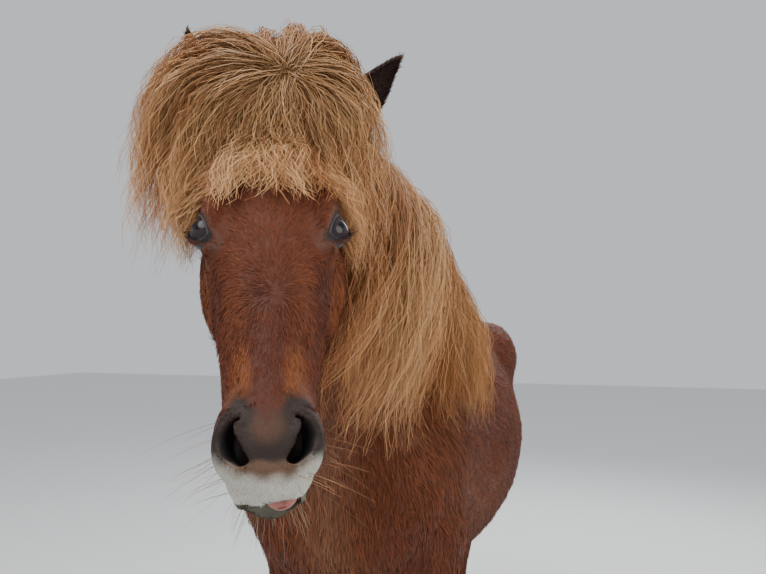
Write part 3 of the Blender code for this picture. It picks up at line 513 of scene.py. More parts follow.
def normals_of(obj):
    flat = np.empty(len(obj.data.vertices) * 3)
    obj.data.vertex_normals.foreach_get("vector", flat)
    return flat.reshape(-1, 3)


def set_coordinates(obj, places):
    obj.data.vertices.foreach_set("co", places.reshape(-1))
    obj.data.update()


HEAD_AXES, HEAD_PLACE = np.array(HEAD.to_3x3()), np.array(HEAD.translation)


def to_head(places):
    return (places - HEAD_PLACE) @ HEAD_AXES


def from_head(places):
    return places @ HEAD_AXES.T + HEAD_PLACE


print("skin vertices", len(skin.data.vertices), "faces", len(skin.data.polygons))

# %% [markdown]
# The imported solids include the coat, so the skin lies inside them by the coat's depth: thin on the face,
# thick on the trunk. Smooth noise, a sum of sine waves in fixed random directions, gives muscle and fat
# their slight unevenness.

# %% Draw the skin in by the depth of the coat


def ramp(low, high, values):
    t = np.clip((values - low) / (high - low), 0, 1)
    return t * t * (3 - 2 * t)


def waves(places, size, seed, count=7):
    """Smooth noise between -1 and 1 whose lumps are about the given size."""
    draw = np.random.default_rng(seed)
    total = np.zeros(len(places))
    for _ in range(count):
        way = draw.normal(size=3)
        way *= math.pi / size * draw.uniform(0.6, 1.4) / np.linalg.norm(way)
        total += np.sin(places @ way + draw.uniform(0, 2 * math.pi))
    return total / count * 1.6


def on_head(places):
    """1 on the head, 0 on the neck, with a soft border behind the cheeks."""
    head = to_head(places)
    behind = (head - np.array((0, -0.155, 0.045))) @ np.array((0.0, 0.72, 0.69))
    return ramp(-0.06, 0.05, behind) * (places[:, 1] < -0.8)


def coat_depth(places):
    head, low_leg = on_head(places), 1 - ramp(0.25, 0.75, places[:, 2])
    muzzle = ramp(0.30, 0.47, to_head(places)[:, 2])
    deep = 0.011 * (1 - low_leg) + 0.005 * low_leg
    face = 0.0045 * (1 - muzzle) + 0.0015 * muzzle
    return deep * (1 - head) + face * head


outer = coordinates(skin)
depth = coat_depth(outer)
uneven = (0.0022 * waves(outer, 0.10, 1) + 0.0012 * waves(outer, 0.035, 2)) * (1 - 0.8 * on_head(outer))
set_coordinates(skin, outer - normals_of(skin) * (depth - uneven)[:, None])
print("depth of coat", round(depth.min(), 4), "to", round(depth.max(), 4))

# %% [markdown]
# Each form below moves points by a rule. A nostril is a comma-shaped outline that is pushed in along the
# air passage. Round it lies a soft rim. The lids are drawn onto the eyeball, and the lip line is a groove
# that opens where the tongue shows.

# %% Sculpt the face
EYEBALL = Vector((0.0805, -0.0395, 0.2020))
EYEBALL_RADIUS = 0.0240
GAZE = Vector((0.60, 0.79, 0.08)).normalized()
LID_LENGTH = Vector((0.49, -0.29, -0.82))


def outline_distance(points, outline):
    """Distance of flat points from a closed outline, negative inside."""
    corners = np.array(outline)
    ends = np.roll(corners, -1, axis=0)
    nearest = np.full(len(points), 1e9)
    inside = np.zeros(len(points), bool)
    for a, b in zip(corners, ends):
        along = b - a
        t = np.clip(((points - a) @ along) / (along @ along), 0, 1)
        nearest = np.minimum(nearest, np.linalg.norm(points - a - t[:, None] * along, axis=1))
        crosses = (a[1] > points[:, 1]) != (b[1] > points[:, 1])
        with np.errstate(divide="ignore", invalid="ignore"):
            at = a[0] + (points[:, 1] - a[1]) / (b[1] - a[1]) * along[0]
        inside ^= crosses & (points[:, 0] < at)
    return np.where(inside, -nearest, nearest)


def line_distance(points, line):
    """Distance from an open line."""
    nearest = np.full(len(points), 1e9)
    for a, b in zip(np.array(line[:-1]), np.array(line[1:])):
        along = b - a
        t = np.clip(((points - a) @ along) / (along @ along), 0, 1)
        nearest = np.minimum(nearest, np.linalg.norm(points - a - t[:, None] * along, axis=1))
    return nearest


def bump_at(distance, centre, width):
    return np.exp(-(((distance - centre) / width) ** 2))


def sculpt_nostril(face, side):
    flat = np.stack([face[:, 0] * side, face[:, 2]], axis=1)
    front = (face[:, 1] > -0.075) & (flat[:, 1] > 0.44) & (flat[:, 0] > 0)
    away = outline_distance(flat, NOSTRIL_EDGE)
    inward = np.array((-0.25 * side, -0.88, -0.30))
    wing = 0.0030 * bump_at(away, 0.0045, 0.0045) * (0.4 + 0.6 * ramp(0.025, 0.055, flat[:, 0]))
    soft = 0.0035 + 0.0095 * ramp(0.036, 0.048, flat[:, 0] - 0.25 * (flat[:, 1] - 0.50))
    pit = 0.030 * (1 - ramp(-1, 0, (away - 0.0008) / soft))
    face += front[:, None] * (inward * pit[:, None] + np.array((0.45 * side, 0.85, 0.25)) * wing[:, None])


def eye_shape(face, side):
    """How far out from the middle of the lids' opening each point lies: 1 is on the edge."""
    axis, length = np.array(GAZE), np.array(LID_LENGTH)
    length = length - axis * (length @ axis)
    length /= np.linalg.norm(length)
    across = np.cross(length, axis)
    away = face * (side, 1, 1) - np.array(EYEBALL)
    along, high = away @ length, away @ across
    height = np.where(high > 0, 0.0140, 0.0130) * (1 + 0.20 * np.clip(along / 0.021, -1.5, 1.5))
    return np.sqrt((along / 0.0225) ** 2 + (high / height) ** 2), away @ axis, away, high


def sculpt_eye(face, side):
    edge, out, away, high = eye_shape(face, side)
    here = (out > 0.004) & (edge < 3.2) & (np.linalg.norm(away, axis=1) < 0.055)
    radius = np.linalg.norm(away, axis=1)
    lid = EYEBALL_RADIUS + 0.0018
    inner = 0.0130 + (lid - 0.0130) * ramp(0.86, 1.0, edge)
    outer = lid + (radius - lid) * ramp(1.0, 1.75, edge)
    wanted = np.where(edge < 1.0, inner, outer)
    wanted += 0.0016 * bump_at(edge, 1.13, 0.14) - 0.0016 * bump_at(edge, 1.62, 0.12) * (high > 0)
    wanted -= 0.0010 * bump_at(edge, 1.50, 0.10) * (high < 0)
    scale = np.where(here, wanted / radius, 1)
    face += (away * (scale - 1)[:, None]) * (side, 1, 1)


def sculpt_lips(face):
    away = line_distance(face, LIP_LINE)
    lower = face[:, 1] < -0.088
    groove = 0.0075 * (1 - ramp(0.0, 0.0042, away))
    roll = 0.0022 * bump_at(away, 0.0075, 0.0045)
    ends = ramp(0.448, 0.480, face[:, 2])
    centre = np.array((0.0, -0.090, 0.500))
    outward = face - centre
    outward /= np.linalg.norm(outward, axis=1)[:, None]
    face += outward * ((roll - groove) * ends)[:, None]
    gape = outline_distance(face[:, :2], GAPE)
    opened = (1 - ramp(-0.0045, 0.0008, gape)) * (face[:, 2] > 0.515)
    face[:, 2] -= 0.026 * opened
    pouch = np.exp(-(((face[:, 2] - 0.515) / 0.03) ** 2)) * lower * 0.002
    face[:, 1] -= pouch


def sculpt_bones(face):
    """The cheekbone's ridge, the hollow over the eye, the dip beside the nose bone and the nostril creases."""
    for side in (1, -1):
        ridge = line_distance(face * (side, 1, 1),
                               ((0.094, -0.075, 0.235), (0.078, -0.078, 0.300), (0.064, -0.082, 0.360)))
        hollow = np.linalg.norm((face * (side, 1, 1) - (0.083, -0.010, 0.120)) / (1, 1, 1.5), axis=1)
        beside = line_distance(face * (side, 1, 1),
                               ((0.052, -0.018, 0.300), (0.048, -0.034, 0.380), (0.044, -0.040, 0.430)))
        crease = line_distance(face * (side, 1, 1),
                               ((0.020, -0.020, 0.455), (0.034, -0.024, 0.462), (0.050, -0.038, 0.470)))
        move = 0.0030 * bump_at(ridge, 0, 0.009) - 0.0040 * bump_at(hollow, 0, 0.019)
        move += -0.0032 * bump_at(beside, 0, 0.013) - 0.0022 * bump_at(crease, 0, 0.005)
        face += np.array((0.6 * side, 0.8, 0)) * move[:, None]


face = to_head(coordinates(skin))
sculpt_bones(face)
for side in (1, -1):
    sculpt_nostril(face, side)
    sculpt_eye(face, side)
sculpt_lips(face)
set_coordinates(skin, from_head(face))
print("face sculpted, points moved on", len(skin.data.vertices), "points")

# %% [markdown]
# ## Colour
# One function says what colour the coat has at any place, so that skin and hair always agree: chestnut,
# with painted shade down the middle of the nose, on the side of the face below the eye, over the poll, on the
# underside of the body and towards the ground, painted highlights in orange beside the nose and on the cheeks,
# a near-black muzzle and a pale upper lip. Each marking and each patch of painted light or shade is a soft
# region, and noise makes its border ragged.

# %% The colours of the coat
# The second colour on this line is painted shade, and the third is an orange used for random tone on the body
# and for painted highlights on the face.
CHESTNUT, PAINTED_SHADE, ORANGE_TONE_AND_HIGHLIGHT = (0.108, 0.027, 0.011), (0.048, 0.011, 0.006), (0.250, 0.078, 0.022)
MUZZLE, LIP, CHIN = (0.019, 0.013, 0.011), (0.520, 0.500, 0.440), (0.075, 0.066, 0.045)
SPECKLED, FAWN = (0.110, 0.060, 0.035), (0.200, 0.085, 0.045)
LID, STAR = (0.022, 0.020, 0.024), (0.55, 0.42, 0.30)
# The second colour on this line is near-black painted shade for the hollows of the nostrils, the lip line and
# the open mouth.
PALE_RING, HOLLOW_SHADE = (0.200, 0.160, 0.140), (0.0035, 0.003, 0.003)


def lay(base, colour, share):
    """The colour laid over the base where share is 1."""
    return base + (np.array(colour) - base) * np.clip(share, 0, 1)[:, None]


def spot(places, centre, sizes):
    """1 in the middle of a soft oval spot, 0 outside it."""
    return 1 - ramp(0.35, 1.0, np.linalg.norm((places - centre) / sizes, axis=1))


def face_colour(base, face, ragged):
    x, y, z = face.T
    wide = np.abs(x)
    # Painted shade down the middle of the nose.
    base = lay(base, PAINTED_SHADE, 0.45 * (1 - ramp(0.014, 0.038, wide)) * ramp(0.20, 0.34, z) * (y > -0.06))
    for side in (1, -1):
        flip = face * (side, 1, 1)
        # Painted highlights in orange on the sides of the nose and on the cheeks, and painted shade on the side
        # of the face below the eye.
        base = lay(base, ORANGE_TONE_AND_HIGHLIGHT, 0.55 * spot(flip, (0.034, -0.028, 0.425), (0.024, 0.03, 0.062)))
        base = lay(base, ORANGE_TONE_AND_HIGHLIGHT, 0.12 * spot(flip, (0.040, -0.020, 0.330), (0.030, 0.04, 0.080)))
        base = lay(base, ORANGE_TONE_AND_HIGHLIGHT, 0.45 * spot(flip, (0.090, -0.110, 0.270), (0.040, 0.07, 0.110)))
        base = lay(base, PAINTED_SHADE, 0.50 * spot(flip, (0.066, -0.050, 0.300), (0.026, 0.04, 0.070)))
    # Painted shade over the poll, under the forelock.
    base = lay(base, PAINTED_SHADE, 0.5 * spot(face, (0.0, 0.0, 0.045), (0.10, 0.09, 0.085)))
    scallop = 0.020 * np.cos(np.clip(x / 0.032, -3, 3) * math.pi)
    edge = 0.462 + scallop - 0.010 * ramp(-0.05, -0.10, y) + 0.006 * ragged
    dark = ramp(-0.010, 0.014, z - edge) * ramp(0.42, 0.45, z)
    base = lay(base, MUZZLE, 0.93 * dark)
    base = lay(base, FAWN, 0.30 * dark * spot(face, (0.0, -0.025, 0.488), (0.026, 0.03, 0.028)))
    nose_end = (z > 0.49) & (y < -0.030)
    base = lay(base, SPECKLED, ramp(0.519, 0.526, z + 0.002 * ragged) * nose_end)
    low = 0.545 - 0.012 * (wide / 0.04) ** 2
    lip = ramp(-0.015, 0.002, z - low + 0.1 * (-0.052 - y) + 0.003 * ragged) * nose_end * (y > -0.108)
    lip = np.maximum(lip, spot(face * (-1, 1, 1), (0.040, -0.058, 0.528), (0.014, 0.02, 0.016)) * 0.9)
    lip = np.maximum(lip, spot(face, (0.042, -0.058, 0.526), (0.014, 0.02, 0.016)) * 0.9)
    base = lay(base, LIP, lip)
    line = np.array(LIP_LINE)
    lip_y = np.interp(x, line[:, 0], line[:, 1])
    base = lay(base, CHIN, ramp(0.000, 0.004, lip_y - y) * ramp(0.43, 0.50, z))
    return base


def lid_colour(base, face):
    for side in (1, -1):
        edge, out, _, high = eye_shape(face, side)
        here = (out > 0.0) & (face[:, 0] * side > 0)
        base = lay(base, PALE_RING, 0.20 * bump_at(edge, 1.75, 0.25) * here)
        base = lay(base, LID, 0.95 * (1 - ramp(1.20, 1.60, edge)) * here)
        # A thin bluish-grey line along the rim of the lower lid: a painted reflection on the wet rim.
        base = lay(base, (0.20, 0.20, 0.23), 0.45 * bump_at(edge, 1.03, 0.04) * (high < -0.002) * here)
    return base


def coat_colour(places, normals):
    """Colour of the hair at places on the horse, as linear red, green and blue, with painted highlights and
    painted shade.
    """
    ragged, broad = waves(places, 0.012, 11), waves(places, 0.16, 12)
    face = to_head(places)
    head = on_head(places)
    base = np.tile(np.array(CHESTNUT), (len(places), 1))
    base = lay(base, ORANGE_TONE_AND_HIGHLIGHT, (0.12 + 0.14 * broad) * (1 - 0.7 * head))
    # Painted shade on the parts of the body that face downwards, and more painted shade towards the ground.
    base = lay(base, PAINTED_SHADE, 0.50 * ramp(0.2, 0.9, -normals[:, 2]) * (1 - head))
    base = lay(base, PAINTED_SHADE, 0.55 * (1 - ramp(0.10, 0.55, places[:, 2])))
    chest = bump_at(places[:, 0] - 0.015, 0, 0.050) * (places[:, 1] < -0.55) * ramp(0.70, 0.85, places[:, 2])
    base = lay(base, FAWN, 0.75 * chest * (1 - head) * (normals[:, 1] < 0.1))
    on_face = face_colour(base, face, ragged)
    base = base + (on_face - base) * head[:, None]
    star = spot(face, (0.025, 0.008, 0.141), (0.011, 0.03, 0.013)) * head
    base = lay(base, STAR, star)
    return lid_colour(base, face)


def write_tint(obj, colours, name="tint"):
    layer = obj.data.color_attributes.new(name, "FLOAT_COLOR", "POINT")
    layer.data.foreach_set("color", np.concatenate([colours, np.ones((len(colours), 1))], axis=1).reshape(-1))


places, normals = coordinates(skin), normals_of(skin)
tints = coat_colour(places, normals)
face = to_head(places)
# Near-black painted shade inside the nostrils, along the lip line and in the open mouth.
for side in (1, -1):
    flat = np.stack([face[:, 0] * side, face[:, 2]], axis=1)
    near_tip = (face[:, 1] > -0.09) * (face[:, 2] > 0.44)
    hole = (1 - ramp(-0.006, 0.001, outline_distance(flat, NOSTRIL_EDGE))) * near_tip
    tints = lay(tints, HOLLOW_SHADE, hole * (flat[:, 0] > 0))
groove = line_distance(face, LIP_LINE)
tints = lay(tints, HOLLOW_SHADE, 0.85 * (1 - ramp(0.001, 0.0045, groove)))
in_mouth = (face[:, 2] > 0.50) * (face[:, 2] < 0.5485)
tints = lay(tints, HOLLOW_SHADE, (1 - ramp(-0.003, 0.0, outline_distance(face[:, :2], GAPE))) * in_mouth)
write_tint(skin, tints)
print("mean colour", [round(float(value), 3) for value in tints.mean(axis=0)])

# %% [markdown]
# The skin's finish reads that colour, and adds what is too fine to model: flecks in the colour, which also
# darken it on the whole as painted shade among the roots of the coat, a rough pile and a fine bump. The coat's
# finish does the same with a lighter touch, because there the tufts themselves are the texture.

# %% Finishes of skin and coat


class Finish:
    """A material built up step by step."""

    def __init__(self, name, roughness, specular=0.3):
        self.material = bpy.data.materials.new(name)
        self.material.use_nodes = True
        self.nodes, self.links = self.material.node_tree.nodes, self.material.node_tree.links
        self.shader = self.nodes["Principled BSDF"]
        self.shader.inputs["Roughness"].default_value = roughness
        self.shader.inputs["Specular IOR Level"].default_value = specular

    def add(self, kind, **values):
        node = self.nodes.new(kind)
        for key, value in values.items():
            setattr(node, key, value)
        return node

    def centred(self, scale=(1, 1, 1)):
        """Places on the object, through a mapping that can be stretched."""
        source, mapping = self.add("ShaderNodeTexCoord"), self.add("ShaderNodeMapping")
        mapping.inputs["Scale"].default_value = scale
        self.links.new(source.outputs["Object"], mapping.inputs["Vector"])
        return mapping.outputs["Vector"]

    def noise(self, scale, detail=3, stretch=(1, 1, 1)):
        node = self.add("ShaderNodeTexNoise")
        node.inputs["Scale"].default_value, node.inputs["Detail"].default_value = scale, detail
        self.links.new(self.centred(stretch), node.inputs["Vector"])
        return node.outputs["Fac"]

    def fit(self, value, low, high):
        node = self.add("ShaderNodeMapRange")
        node.inputs["To Min"].default_value, node.inputs["To Max"].default_value = low, high
        self.links.new(value, node.inputs["Value"])
        return node.outputs["Result"]

    def attribute(self, name):
        return self.add("ShaderNodeAttribute", attribute_name=name).outputs["Color"]

    def shade(self, colour, value):
        """The colour made lighter or darker by a value."""
        node = self.add("ShaderNodeMix", data_type="RGBA", blend_type="MULTIPLY")
        node.inputs["Factor"].default_value = 1
        self.links.new(colour, node.inputs["A"])
        self.links.new(value, node.inputs["B"])
        return node.outputs["Result"]

    def blend(self, one, other, share):
        node = self.add("ShaderNodeMix", data_type="RGBA")
        for socket, value in (("A", one), ("B", other)):
            if isinstance(value, tuple):
                node.inputs[socket].default_value = (*value, 1)
            else:
                self.links.new(value, node.inputs[socket])
        self.links.new(share, node.inputs["Factor"])
        return node.outputs["Result"]

    def coloured(self, colour):
        self.links.new(colour, self.shader.inputs["Base Color"])
        return self

    def rough(self, value):
        self.links.new(value, self.shader.inputs["Roughness"])
        return self

    def bumped(self, height, strength, distance=0.001):
        node = self.add("ShaderNodeBump")
        node.inputs["Strength"].default_value, node.inputs["Distance"].default_value = strength, distance
        self.links.new(height, node.inputs["Height"])
        self.links.new(node.outputs["Normal"], self.shader.inputs["Normal"])
        return self


skin_finish = Finish("skin_under_coat", 0.62, 0.25)
# Flecks in the skin's colour, darker than it on the whole: partly random flecks, partly painted shade among the
# roots of the coat.
flecks_and_shade = skin_finish.fit(skin_finish.noise(420, 4), 0.45, 1.05)
skin_finish.coloured(skin_finish.shade(skin_finish.attribute("tint"), flecks_and_shade))
skin_finish.rough(skin_finish.fit(skin_finish.noise(260), 0.50, 0.78)).bumped(skin_finish.noise(700, 4), 0.5)

coat_finish = Finish("winter_coat", 0.60, 0.16)
streaks = coat_finish.fit(coat_finish.noise(300, 2), 0.72, 1.22)
coat_finish.coloured(coat_finish.shade(coat_finish.attribute("tint"), streaks))
coat_finish.rough(coat_finish.fit(coat_finish.noise(180), 0.52, 0.72))
coat_finish.bumped(coat_finish.noise(900, 2), 0.25, 0.0004)

long_finish = Finish("mane_hair", 0.42, 0.32)
streaks = long_finish.fit(long_finish.noise(220, 2), 0.75, 1.2)
long_finish.coloured(long_finish.shade(long_finish.attribute("tint"), streaks))
long_finish.rough(long_finish.fit(long_finish.noise(150), 0.36, 0.58))
long_finish.bumped(long_finish.noise(900, 2), 0.25, 0.0004)

skin.data.materials.clear()
skin.data.materials.append(skin_finish.material)
skin.data.polygons.foreach_set("use_smooth", [True] * len(skin.data.polygons))
print("finishes", [skin_finish.material.name, coat_finish.material.name, long_finish.material.name])

# %% [markdown]
# ## Roots
# Hair grows from the skin, so every root is a place on one of its triangles. The skin is unwrapped once. A
# tuft takes a small patch of that unwrap at its root, so that a baked colour for the skin also suits the
# tuft.

# %% Unwrap the skin, and a sampler of roots
bpy.context.view_layer.objects.active = skin
skin.select_set(True)
bpy.ops.object.mode_set(mode="EDIT")
bpy.ops.mesh.select_all(action="SELECT")
bpy.ops.uv.smart_project(angle_limit=math.radians(66), island_margin=0.002)
bpy.ops.object.mode_set(mode="OBJECT")
skin.select_set(False)
skin.data.uv_layers[0].name = "OFBake"
skin.data.calc_loop_triangles()
TRIANGLES = np.empty(len(skin.data.loop_triangles) * 3, np.int32)
skin.data.loop_triangles.foreach_get("vertices", TRIANGLES)
TRIANGLES = TRIANGLES.reshape(-1, 3)
loops = np.empty(len(skin.data.loop_triangles) * 3, np.int32)
skin.data.loop_triangles.foreach_get("loops", loops)
unwrapped = np.empty(len(skin.data.loops) * 2)
skin.data.uv_layers[0].data.foreach_get("uv", unwrapped)
UNWRAP = unwrapped.reshape(-1, 2)[loops.reshape(-1, 3)]
SKIN_PLACES, SKIN_NORMALS = coordinates(skin), normals_of(skin)
CORNERS = SKIN_PLACES[TRIANGLES]
AREAS = np.linalg.norm(np.cross(CORNERS[:, 1] - CORNERS[:, 0], CORNERS[:, 2] - CORNERS[:, 0]), axis=1) / 2
MIDDLES = CORNERS.mean(axis=1)
SKIN_TREE = BVHTree.FromObject(skin, bpy.context.evaluated_depsgraph_get())
print("skin area", round(float(AREAS.sum()), 2), "square metres")


def roots(density, seed):
    """Random places on the skin, so many a square metre on each triangle: places, normals and unwrap."""
    draw = np.random.default_rng(seed)
    share = np.cumsum(AREAS * density)
    chosen = np.searchsorted(share, draw.uniform(0, share[-1], int(share[-1])))
    chosen = np.minimum(chosen, len(AREAS) - 1)
    u, v = draw.uniform(size=(2, len(chosen)))
    over = u + v > 1
    u[over], v[over] = 1 - u[over], 1 - v[over]
    weights = np.stack([1 - u - v, u, v], axis=1)[:, :, None]
    normals = (SKIN_NORMALS[TRIANGLES[chosen]] * weights).sum(axis=1)
    normals /= np.linalg.norm(normals, axis=1)[:, None] + 1e-9
    return (CORNERS[chosen] * weights).sum(axis=1), normals, (UNWRAP[chosen] * weights).sum(axis=1)


# %% [markdown]
# The way the hair lies is a field over the body. On the face it starts from a whorl between the eyes:
# upward and outward above it, down the nose below it. On the neck and trunk it runs back and down, and on
# the legs straight down.

# %% The lie of the coat
WHORL = (0.010, 0.330)


def unit(vectors):
    return vectors / (np.linalg.norm(vectors, axis=1)[:, None] + 1e-9)


def lie(places, normals):
    face = to_head(places)
    head = on_head(places)[:, None]
    x, z = face[:, 0] - WHORL[0], face[:, 2] - WHORL[1]
    above = z < 0
    fan = np.stack([x * np.where(above, 1.9, 0.9), np.zeros(len(x)),
                    np.where(above, z, z * 1.6) + 0.006], axis=1)
    cheek = np.stack([np.zeros(len(x)), -0.85 * np.ones(len(x)), 0.45 * np.ones(len(x))], axis=1)
    sideways = ramp(0.55, 0.92, np.abs(normals @ HEAD_AXES[:, 0])) * (1 - ramp(0.38, 0.46, face[:, 2]))
    sideways = sideways[:, None]
    on_face = (unit(fan) * (1 - sideways) + cheek * sideways) @ HEAD_AXES.T
    high = places[:, 2]
    leg = 1 - ramp(0.62, 0.88, high)
    neck = 1 - ramp(-0.62, -0.30, places[:, 1])
    back = 1 - ramp(0.55, 0.72, places[:, 1]) * 0.7
    body = np.stack([np.zeros(len(x)), 0.85 * back * (1 - 0.9 * leg) * (1 - 0.45 * neck),
                     -0.45 - 0.5 * neck - 0.8 * leg - 0.8 * (1 - back)], axis=1)
    way = on_face * head + unit(body) * (1 - head)
    way -= normals * (way * normals).sum(axis=1)[:, None]
    return unit(way)


# %% [markdown]
# A tuft of short hair is one thin, bent blade: wide at the root, curved over the skin and pointed at its
# tip. There are very many, so all blades of a patch are made at once with arrays, and joined into a few
# meshes.

# %% Blades


def mesh_of(name, places, faces, tints, patches, finish, slot="coat"):
    """One mesh from arrays of places, faces, colours of the places and unwrap of the places."""
    data = bpy.data.meshes.new(name)
    count, size = faces.shape
    data.vertices.add(len(places))
    data.vertices.foreach_set("co", places.astype(np.float32).reshape(-1))
    data.loops.add(count * size)
    data.loops.foreach_set("vertex_index", faces.astype(np.int32).reshape(-1))
    data.polygons.add(count)
    data.polygons.foreach_set("loop_start", np.arange(0, count * size, size, dtype=np.int32))
    data.polygons.foreach_set("use_smooth", np.ones(count, bool))
    data.update(calc_edges=True)
    layer = data.uv_layers.new(name="OFBake")
    corners = np.clip(patches[faces.reshape(-1)], 0.0005, 0.9995).astype(np.float32)
    layer.data.foreach_set("uv", corners.reshape(-1))
    obj = bpy.data.objects.new(name, data)
    bpy.context.scene.collection.objects.link(obj)
    write_tint(obj, np.clip(tints, 0, 1))
    data.materials.append(finish.material)
    dress(obj)
    return obj


def dress(obj):
    """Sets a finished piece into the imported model's place."""
    obj.data.transform(Matrix.Translation(SHIFT))
    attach(obj, "root")
    return obj


BLADE_FACES = np.array(((0, 1, 3), (0, 3, 2), (2, 3, 4)))
PATCH = 0.0015
BLADE_PATCH = np.array(((-1, -1), (1, -1), (-0.7, 0.2), (0.7, 0.2), (0, 1))) * PATCH


def blades(name, places, normals, patches, ways, lengths, widths, lifts, tints, seed, most=60000):
    """Bent blades. A lift of 0 lies on the skin and 1 stands up."""
    draw = np.random.default_rng(seed)
    side = unit(np.cross(normals, ways) + normals * draw.normal(0, 0.30, len(places))[:, None])
    lift = lifts[:, None] * normals
    long, wide = lengths[:, None], widths[:, None] / 2
    root = places - normals * 0.0006
    bend = root + ways * long * 0.48 + lift * long * 0.55
    tip = (root + ways * long * 0.98 + lift * long * 0.62
           + side * long * draw.normal(0, 0.07, len(places))[:, None])
    shape = np.stack([root - side * wide, root + side * wide,
                      bend - side * wide * 0.8, bend + side * wide * 0.8, tip], axis=1)
    # Each blade is darker at the root, as painted shade where it lies close over the skin, and lighter at the
    # tip.
    shades = np.array((0.50, 0.50, 0.95, 0.95, 1.25))[None, :, None] * tints[:, None, :]
    flat = patches[:, None, :] + BLADE_PATCH[None]
    made = []
    for start in range(0, len(places), most):
        end = min(start + most, len(places))
        count = end - start
        faces = (BLADE_FACES[None] + 5 * np.arange(count)[:, None, None]).reshape(-1, 3)
        piece = f"{name}_{len(made) + 1}"
        parts = (shape[start:end].reshape(-1, 3), faces,
                 shades[start:end].reshape(-1, 3), flat[start:end].reshape(-1, 2))
        made.append(mesh_of(piece, *parts, coat_finish))
    return made


def tuft_sizes(places, normals):
    """Length, width, lift and cover of the tufts at each place."""
    head, face = on_head(places), to_head(places)
    low = 1 - ramp(0.30, 0.80, places[:, 2])
    belly = ramp(0.3, 0.9, -normals[:, 2])
    length = 0.030 + 0.008 * belly - 0.014 * low
    width = 0.0022 - 0.0004 * low
    lift = 0.16 + 0.05 * belly + np.zeros(len(places))
    muzzle = ramp(0.36, 0.50, face[:, 2])
    under = ramp(-0.10, -0.20, face[:, 1]) * (1 - ramp(0.30, 0.45, face[:, 2]))
    face_length = 0.0125 - 0.0085 * muzzle + 0.012 * under
    face_width = 0.00125 - 0.00055 * muzzle + 0.0007 * under
    face_lift = 0.15 - 0.02 * muzzle + 0.05 * under
    length = length * (1 - head) + face_length * head
    width = width * (1 - head) + face_width * head
    lift = lift * (1 - head) + face_lift * head
    brow = np.minimum(*(eye_shape(face, side)[0] for side in (1, -1)))
    around = 1 - ramp(1.4, 2.6, brow)
    length = length * (1 - 0.62 * around * head)
    width = width * (1 - 0.40 * around * head)
    return length, width, lift


def bare(places):
    """1 where no hair grows: in the nostrils, on the eye and in the mouth, and under the hooves."""
    face, gone = to_head(places), places[:, 2] < 0.070
    for side in (1, -1):
        flat = np.stack([face[:, 0] * side, face[:, 2]], axis=1)
        near_tip = (face[:, 1] > -0.095) & (face[:, 2] > 0.44) & (flat[:, 0] > 0)
        inside = (outline_distance(flat, NOSTRIL_EDGE) < 0.0005) & near_tip
        edge, out, _, _ = eye_shape(face, side)
        gone = gone | inside | ((edge < 1.22) & (out > 0) & (face[:, 0] * side > 0.03))
    lip = (line_distance(face, LIP_LINE) < 0.0035) & (face[:, 2] > 0.46)
    gape = (outline_distance(face[:, :2], GAPE) < 0.0005) & (face[:, 2] > 0.50)
    return gone | lip | gape


def coat_of(name, wanted, cover, seed):
    facing = unit(np.cross(CORNERS[:, 1] - CORNERS[:, 0], CORNERS[:, 2] - CORNERS[:, 0]))
    length, width, _ = tuft_sizes(MIDDLES, facing)
    density = cover / (length * width * 0.55) * wanted(MIDDLES) * ~bare(MIDDLES)
    places, normals, patches = roots(density, seed)
    draw = np.random.default_rng(seed + 1)
    length, width, lift = tuft_sizes(places, normals)
    clump = waves(places, 0.016, seed + 2)
    swirl = 0.16 * waves(places, 0.05, seed + 3) + 0.13 * clump + draw.normal(0, 0.10, len(places))
    way = lie(places, normals)
    way = unit(way + np.cross(normals, way) * swirl[:, None])
    lift = np.clip(lift * (1 + 0.45 * clump) + draw.normal(0, 0.05, len(places)), 0.02, 0.6)
    shade = np.clip(1 + 0.16 * clump + draw.normal(0, 0.16, len(places)), 0.45, 1.7)
    tints = coat_colour(places, normals) * shade[:, None]
    warm = np.clip(draw.normal(0, 0.09, len(places)), -0.2, 0.25)
    tints *= 1 + warm[:, None] * np.array((0.4, 1.0, 1.2))
    length = length * draw.uniform(0.7, 1.25, len(places))
    width = width * draw.uniform(0.7, 1.2, len(places))
    return blades(name, places, normals, patches, way, length, width, lift, tints, seed + 4)


coat = coat_of("coat_head", lambda places: on_head(places) > 0.3, 2.3, 100)
coat += coat_of("coat_body", lambda places: on_head(places) <= 0.3, 1.25, 200)
print("coat pieces", len(coat), "triangles", sum(len(piece.data.polygons) for piece in coat))

# %% [markdown]
# ## Long hair
# Forelock, mane and tail are drawn as clumps. Each clump follows a guide that leaves its root, rises over
# the hair below, droops and keeps its distance from the body, as real locks do. The strands of a clump
# share its path, and each adds its own waves, so the hair looks frizzy but still falls in locks.

# %% Guides of the long hair
PATH_STEPS = 15
MANE_ROOTS = ((-0.345, 1.378), (-0.450, 1.407), (-0.580, 1.452), (-0.740, 1.506), (-0.870, 1.543),
              (-0.990, 1.562))
MANE_SHIFT = (0.000, 0.001, 0.005, 0.014, 0.028, 0.042)
# each ear in the head's frame: its base, the way it points and the way it opens
EARS = {
    "ear_left": ((0.103, -0.045, -0.010), (0.60, 0.44, -0.72), (0.50, 0.62, 0.55)),
    "ear_right": ((-0.110, -0.045, -0.010), (-0.04, 0.50, -0.86), (-0.55, 0.70, 0.45)),
}
TAIL_HAIR = (
    (1.190, 0.752, 0.026, 0.022), (1.080, 0.794, 0.046, 0.036), (0.950, 0.808, 0.064, 0.044),
    (0.750, 0.812, 0.080, 0.050), (0.550, 0.808, 0.078, 0.046), (0.400, 0.800, 0.058, 0.036),
    (0.240, 0.792, 0.026, 0.020),
)
draw = random.Random(5)


